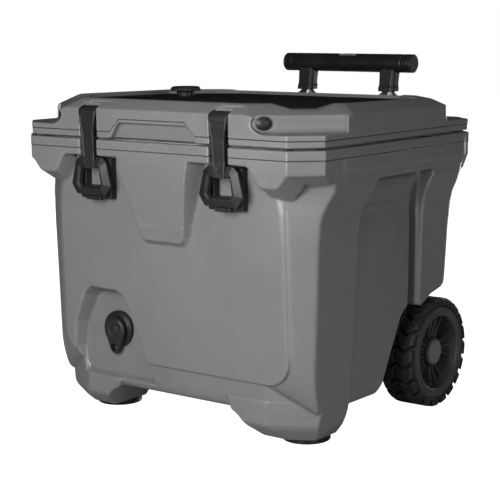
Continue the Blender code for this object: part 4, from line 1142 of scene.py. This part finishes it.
dress(moulded(
    "drain_flange", (-148, -184, 106), (-86, -154, 168), 0.9, flange_shape, (flange_bore, 0.4),
    triangles=70000), "tub", "hardware", BLACK, "drain_fitting")
dress(moulded(
    "drain_lever", (-140, -193, 96), (-94, -158, 160), 0.9, lever_shape, (lever_marks, 0.6),
    triangles=50000), "drain_screw", "hardware", BLACK, "drain_plug")


# ---- feet
def foot_shape(cx):
    """Rubber foot with a grooved side and a ringed sole."""
    def shape(x, y, z):
        r = np.hypot(x - cx, y + 106)
        side = r - 35.5 + 0.9 * np.exp(-((z - 5.5) / 1.1) ** 2)
        sole = 0.6 - z + 0.5 * np.cos(r * 2 * math.pi / 6)
        return both(1.6, side, z - 10, sole * 0.8)
    return shape


for side, word in SIDES:
    cx = side * 182
    dress(moulded(
        f"foot_pad_{word}", (cx - 41, -147, -2), (cx + 41, -65, 12.5), 1.2, foot_shape(cx),
        triangles=40000),
        "tub", "rubber", RUBBER, f"foot_{word}")


# ---- wheels
WHEEL_X = 219
LUGS = 20


def polar(x, y, z, side):
    """Across, radius and angle about a wheel's centre."""
    return side * x - WHEEL_X, np.hypot(y - WHEEL_Y, z - WHEEL_Z), np.arctan2(z - WHEEL_Z, y - WHEEL_Y)


def tyre_shape(side):
    """Tyre band with its sunk sidewalls."""
    def shape(x, y, z):
        t, r, _ = polar(x, y, z, side)
        d = block(r - 74.6, t, 11.4, 28.8, 5)
        wall = both(1.5, 25.2 - np.abs(t), r - 72.6)
        return smax(d, -wall, 1)
    return shape


def tread_shape(side):
    """Zigzag grooves across the tread and between the side lugs."""
    def shape(x, y, z):
        t, r, a = polar(x, y, z, side)
        zig = np.abs(((t / 14) % 2) - 1) * 0.34
        phase = (a / (2 * math.pi) * LUGS + zig) % 1
        gap = (np.abs(phase - 0.5) * 2 * math.pi / LUGS) * r - 3.2
        ring = np.abs(t - 2.6 * np.sin(a * LUGS)) - 1.6
        cross = both(1.2, gap, 80 - r)
        sides = both(1.2, gap, 24.6 - np.abs(t), 75.5 - r)
        return np.minimum(np.minimum(cross, sides), both(1.2, ring, 82.5 - r))
    return shape


def rib_distance(r, a):
    """Distance to the nearest of five groups of three bent ribs."""
    sector = 2 * math.pi / 5
    off = (a + sector * 0.5) % sector - sector * 0.5
    p, q = r * np.cos(off), r * np.sin(off)
    bend = np.maximum(p - 40, 0) * 0.3
    outer = np.abs(np.abs(q) - 6.5 - 0.1 * p - bend) * 0.94
    return np.minimum(np.abs(q), outer) - 1.5


def rim_shape_of(side):
    """Dished wheel rim with thin ribs."""
    def shape(x, y, z):
        t, r, a = polar(x, y, z, side)
        flange = both(1, r - 71.8, 60 - r, np.abs(t - 26.6) - 1.9)
        barrel = both(1, np.abs(r - 60 + (28 - t) * 0.1) - 2.4, np.abs(t) - 28.3)
        disc = both(1.5, np.abs(t + 12) - 2, r - 60)
        hub = both(2, r - 22, np.abs(t - 3) - 17)
        face = t - 12 - np.maximum(r - 30, 0) * 0.1
        ribs = both(1, rib_distance(r, a), face, 2 - t, r - 60, 20 - r)
        d = smin(smin(flange, barrel, 1.5), disc, 5)
        return smin(smin(d, hub, 4), ribs, 1.5)
    return shape


def rim_bore(x, y, z):
    """Bore for the axle."""
    return np.hypot(y - WHEEL_Y, z - WHEEL_Z) - 8


def hub_shape(side):
    """Hub cap with a stepped edge."""
    def shape(x, y, z):
        t, r, _ = polar(x, y, z, side)
        cap = both(1.2, r - 18.8, t - 22, 15.2 - t)
        step = both(0.6, r - 14, t - 22.8, 15.2 - t)
        return smin(cap, step, 0.5)
    return shape


for side, word in SIDES:
    near, far = span(side, 188, 250.5)
    y0, y1, z0, z1 = WHEEL_Y - 89, WHEEL_Y + 89, WHEEL_Z - 89, WHEEL_Z + 89
    dress(moulded(
        f"tyre_band_{word}", (near, y0, z0), (far, y1, z1), 1.5, tyre_shape(side), (tread_shape(side), 0.8),
        triangles=150000), f"wheel_{word}", "tyre", TYRE, f"tyre_{word}")
    dress(moulded(
        f"rim_dish_{word}", (near, y0 + 14, z0 + 14), (far, y1 - 14, z1 - 14), 1.3,
        rim_shape_of(side),
        (rim_bore, 0.5), triangles=120000), f"wheel_{word}", "rim", RIM, f"rim_{word}")
    hub_near, hub_far = span(side, 232, 244.5)
    dress(moulded(
        f"hub_cover_{word}", (hub_near, WHEEL_Y - 22, WHEEL_Z - 22),
        (hub_far, WHEEL_Y + 22, WHEEL_Z + 22), 0.8, hub_shape(side), triangles=30000),
        f"wheel_{word}", "hub", GREY, f"hub_cap_{word}")


# ---- pull handle
BAR_Y, BAR_Z, BAR_R, BAR_HALF = 279, 529, 15.2, 122
POST_X, LEAN = 81, math.tan(math.radians(7))


def post_y(z):
    """Middle of a leaning post at a height."""
    return BAR_Y - (BAR_Z - z) * LEAN


def bar_shape(x, y, z):
    """Pull bar: a plain round tube with softened ends."""
    r = np.hypot(y - BAR_Y, z - BAR_Z)
    return both(1.2, r - BAR_R, np.abs(x) - BAR_HALF)


def bar_pocket(x, y, z):
    """Pocket for the release button."""
    return both(1.5, block(x, y - BAR_Y, 18, 8.5, 4), 535 - z)


def bar_rings(x, y, z):
    """Fine seams beside the legs."""
    r = np.hypot(y - BAR_Y, z - BAR_Z)
    return both(0.2, np.abs(np.abs(x) - 108) - 0.7, BAR_R - 0.8 - r)


def cap_shape(side):
    """Flat end cap."""
    def shape(x, y, z):
        r = np.hypot(y - BAR_Y, z - BAR_Z)
        return both(1.8, r - BAR_R, side * x - 126.3, 122.3 - side * x)
    return shape


def leg_of(side):
    """Moulded leg between the bar and its tube, with a collar."""
    def shape(x, y, z):
        u, v = x - side * POST_X, y - post_y(z)
        swell = np.clip(z - 500, 0, 20) * 0.05
        leg = both(1, block(u, v, 14.4 + swell, 11.6, 6), 484 - z, z - 521)
        collar = both(1.2, block(u, v, 15.4, 12.4, 6.5), 483.2 - z, z - 491)
        return smin(leg, collar, 1)
    return shape


def bar_gap(x, y, z):
    """Seat of the bar in a leg."""
    return np.hypot(y - BAR_Y, z - BAR_Z) - BAR_R - 0.1


def button_shape(x, y, z):
    """Button with a scooped top."""
    d = both(1.2, block(x, y - BAR_Y, 17.3, 7.9, 3.6), z - 544.2, 538.8 - z)
    scoop = 14 - np.hypot(y - BAR_Y, z - 556.6)
    return smax(d, scoop, 0.8)


dress(moulded(
    "grip_tube", (-124.5, 261, 511), (124.5, 297, 547), 1.3, bar_shape,
    (bar_pocket, 0.8), (bar_rings, 0.3), triangles=90000), "handle_head", "grip", SOFT, "grip_bar")
dress(moulded(
    "grip_push", (-20, 268, 536), (20, 290, 547), 0.7, button_shape, triangles=30000),
    "handle_button", "button", GREY, "grip_button")
for side, word in SIDES:
    near, far = span(side, 119.5, 129)
    dress(moulded(
        f"grip_end_{word}", (near, 261, 511), (far, 297, 547), 0.9, cap_shape(side), triangles=20000),
        "handle_head", "grip", BLACK, f"grip_cap_{word}")
    cx = side * POST_X
    dress(moulded(
        f"grip_post_{word}", (cx - 18.5, 257, 480), (cx + 18.5, 294, 524), 0.9, leg_of(side),
        (bar_gap, 0.3), triangles=40000), "handle_head", "grip", BLACK, f"grip_leg_{word}")


def yoke_shape(x, y, z):
    """Bracket that holds the handle's sleeves at the top."""
    posts = np.abs(np.abs(x) - POST_X)
    v = y - post_y(z)
    plate = both(2, block(x, z - 410, 108, 14, 5), y - 240.5, 232.7 - y)
    wrap = both(2, block(posts, v, 26, 22, 8), np.abs(z - 410) - 14, 232.7 - y)
    bridge = both(2, np.abs(x) - 80, np.abs(v) - 13, np.abs(z - 410) - 8, 232.7 - y)
    return smin(smin(plate, wrap, 3), bridge, 4)


def yoke_bore(x, y, z):
    """Seat of a sleeve in the bracket."""
    return block(np.abs(x) - POST_X, y - post_y(z), 16.3, 13.1, 4)


def base_shape(x, y, z):
    """Block that holds the sleeves' feet."""
    v = y - post_y(z)
    plate = both(3, block(x, z - 96, 106, 26, 8), y - 248, 195.3 - y)
    front = both(3, np.abs(x) - 104, v - 20, np.abs(z - 96) - 20, 195.3 - y)
    return smin(both(1, plate, v - 24), front, 4)


def base_ribs(x, y, z):
    """Lightening slots across the block."""
    slot = np.abs(((x / 18 + 0.5) % 1) - 0.5) * 18 - 5.5
    return both(2, slot, np.abs(x) - 52, np.abs(z - 96) - 13, post_y(z) + 8 - y)


dress(moulded(
    "handle_bracket", (-111, 230, 393), (111, 292, 427), 1.3, yoke_shape, (yoke_bore, 0.6),
    triangles=80000), "tub", "hardware", BLACK, "handle_yoke")
dress(moulded(
    "handle_block", (-109, 192, 67), (109, 254, 125), 1.4, base_shape,
    (yoke_bore, 0.6), (base_ribs, 1), triangles=80000), "tub", "hardware", BLACK, "handle_base")


# ---- liners
def bin_inside(x, y, z):
    """Room inside the cooler."""
    d = ring_outline(x, y, 200, 158, 200 + 158 - 26, 18)
    d = smax(d, 122 - z, 16)
    hump = both(12, 133 - np.abs(x), -28 - y, z - 216)
    return smax(d, -hump, 14)


def bin_shape(x, y, z):
    """White inner bin with its flange."""
    wall = smax(bin_inside(x, y, z) - 3.8, z - 429.8)
    flange = both(1, ring_outline(x, y, 258.4, 215.9, RIM_C - 37), z - 430, 424.3 - z)
    keep = both(0, np.abs(np.abs(x) - LATCH_X) - CHANNEL - 4.6, y + 212.5)
    return smin(wall, smax(flange, -keep, 1), 3)


def bin_hollow(x, y, z):
    """Space cut from the bin."""
    return bin_inside(x, y, z - np.maximum(z - 424, 0))


def bin_drain(x, y, z):
    """Drain hole through the bin's front."""
    return smax(np.hypot(x - DRAIN_X, z - DRAIN_Z) - 17.4, y + 140)


dress(moulded(
    "liner_bin", (-270, -227, 112), (270, 227, 434), FINE, bin_shape,
    (bin_hollow, 4), (bin_drain, 0.5), triangles=150000), "tub", "liner", LINER, "tub_liner")


def lid_liner_shape(x, y, z):
    """White underside of the lid, with the plug that hangs into the tub."""
    sheet = both(1, ring_outline(x, y, 269.3, 226.8, LID_C - 8), z - 436, 433.2 - z)
    keep = both(0, np.abs(np.abs(x) - LATCH_X) - CHANNEL - 4.6, y + 208.5)
    keep = np.minimum(keep, both(0, np.abs(x) - 97, y + 211.5))
    drop = (z - 433) * 0.35
    half_x, half_y = 193.8 + drop, 151.8 + drop
    plug = both(6, ring_outline(x, y, half_x, half_y, half_x + half_y - 26 - drop, 16), 416.2 - z)
    return smin(smax(sheet, -keep, 1), smax(plug, z - 435), 3)


def lid_liner_dish(x, y, z):
    """Shallow dish in the plug's face, and the gasket's groove."""
    dish = both(6, ring_outline(x, y, 172, 130, 280, 10), z - 419)
    seat = ring_outline(x, y, 211.6, 169.6, 211.6 + 169.6 - 28)
    return np.minimum(dish, both(0, np.abs(seat) - 4.6, z - 434.2))


dress(moulded(
    "liner_lid", (-273, -231, 412), (273, 231, 439.5), 1.8, lid_liner_shape, (lid_liner_dish, 1),
    triangles=120000), "lid", "liner", LINER, "lid_liner")


# ---- carried-over nodes
FINISH = {
    "axle": STEEL, "hinge_pin": STEEL, "latch_pin": STEEL, "lock_plate": ANODISED, "axle_clamp": BLACK,
    "hinge_lid": BLACK, "hinge_tub": BLACK, "drain_gasket": RUBBER, "lid_gasket": RUBBER,
    "release_seal": RUBBER, "release_seat": BLACK, "sleeve": ANODISED,
    "mid_tube": ANODISED, "top_tube": ANODISED}
for name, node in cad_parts.items():
    for start, finish in sorted(FINISH.items()):
        if name.startswith(start) and not (start == "axle" and "clamp" in name):
            for place in node.material_slots:
                place.material = finish


# ---- stage
LAMPS = (  # name, place, watts, width
    ("key", (0.2, -1.2, 0.6), 19.5, 0.6),
    ("side", (2, -0.7, 0.8), 15, 1),
    ("top", (0.3, -0.4, 2.2), 5, 1.2),
    ("rear", (0.1, 2.2, 0.28), 20, 0.5),
    ("rear_left", (-1.6, 1.8, 0.28), 20, 0.5))
WORLD_LIGHT = 0.03


def only_seen(tree, seen, unseen):
    """Mix two shaders: the first is what the eye sees, the second is what lights the object."""
    mix, path = tree.nodes.new("ShaderNodeMixShader"), tree.nodes.new("ShaderNodeLightPath")
    tree.links.new(path.outputs["Is Camera Ray"], mix.inputs["Fac"])
    tree.links.new(unseen, mix.inputs[1])
    tree.links.new(seen, mix.inputs[2])
    return mix.outputs[0]


def make_world():
    """White backdrop with dim light of its own."""
    world = bpy.data.worlds.new("soft_white")
    bpy.context.scene.world = world
    world.use_nodes = True
    tree = world.node_tree
    dim = next(n for n in tree.nodes if n.type == "BACKGROUND")
    dim.inputs["Color"].default_value = (1, 1, 1, 1)
    dim.inputs["Strength"].default_value = WORLD_LIGHT
    white = tree.nodes.new("ShaderNodeBackground")
    white.inputs["Color"].default_value = (1, 1, 1, 1)
    end = next(n for n in tree.nodes if n.type == "OUTPUT_WORLD")
    tree.links.new(only_seen(tree, white.outputs[0], dim.outputs[0]), end.inputs["Surface"])


LENS = 103.99  # on a 36 mm sensor
CAMERA = (1344.1, -1773.6 + Y_SHIFT, 173.9 + RIM_Z)
CAMERA_TURN, CAMERA_DIP, CAMERA_ROLL = math.radians(37.15), math.radians(9.13), -0.0049


def make_camera():
    """Camera at the photograph's angle."""
    lens = bpy.data.cameras.new("camera")
    lens.sensor_width = 36
    lens.lens = LENS
    eye = bpy.data.objects.new("camera", lens)
    bpy.context.scene.collection.objects.link(eye)
    turn, dip, roll = CAMERA_TURN, CAMERA_DIP, CAMERA_ROLL
    look = Vector((-math.sin(turn) * math.cos(dip), math.cos(turn) * math.cos(dip), -math.sin(dip)))
    right = Vector((math.cos(turn), math.sin(turn), 0))
    up = right.cross(look)
    right, up = right * math.cos(roll) + up * math.sin(roll), up * math.cos(roll) - right * math.sin(roll)
    basis = Matrix((right, up, -look)).transposed().to_4x4()
    basis.translation = Vector(CAMERA) * MM
    eye.matrix_world = basis
    bpy.context.scene.camera = eye


def make_stage():
    """Pale floor and soft lights."""
    size = 8.0
    mesh = bpy.data.meshes.new("floor")
    corners = [(-size, -size, 0), (size, -size, 0), (size, size, 0), (-size, size, 0)]
    mesh.from_pydata(corners, [], [(0, 1, 2, 3)])
    floor = bpy.data.objects.new("floor", mesh)
    floor.location.z = -0.0005
    bpy.context.scene.collection.objects.link(floor)
    mesh.materials.append(floor_paint())
    make_world()
    bpy.context.scene.view_settings.view_transform = "Standard"
    for name, place, energy, width in LAMPS:
        data = bpy.data.lights.new(name, "AREA")
        data.energy = energy
        data.size = width
        lamp = bpy.data.objects.new(name, data)
        lamp.visible_camera = False
        lamp.location = place
        lamp.rotation_mode = "QUATERNION"
        lamp.rotation_quaternion = (Vector((0, 0, 0.25)) - Vector(place)).to_track_quat("-Z", "Y")
        bpy.context.scene.collection.objects.link(lamp)


make_stage()
make_camera()
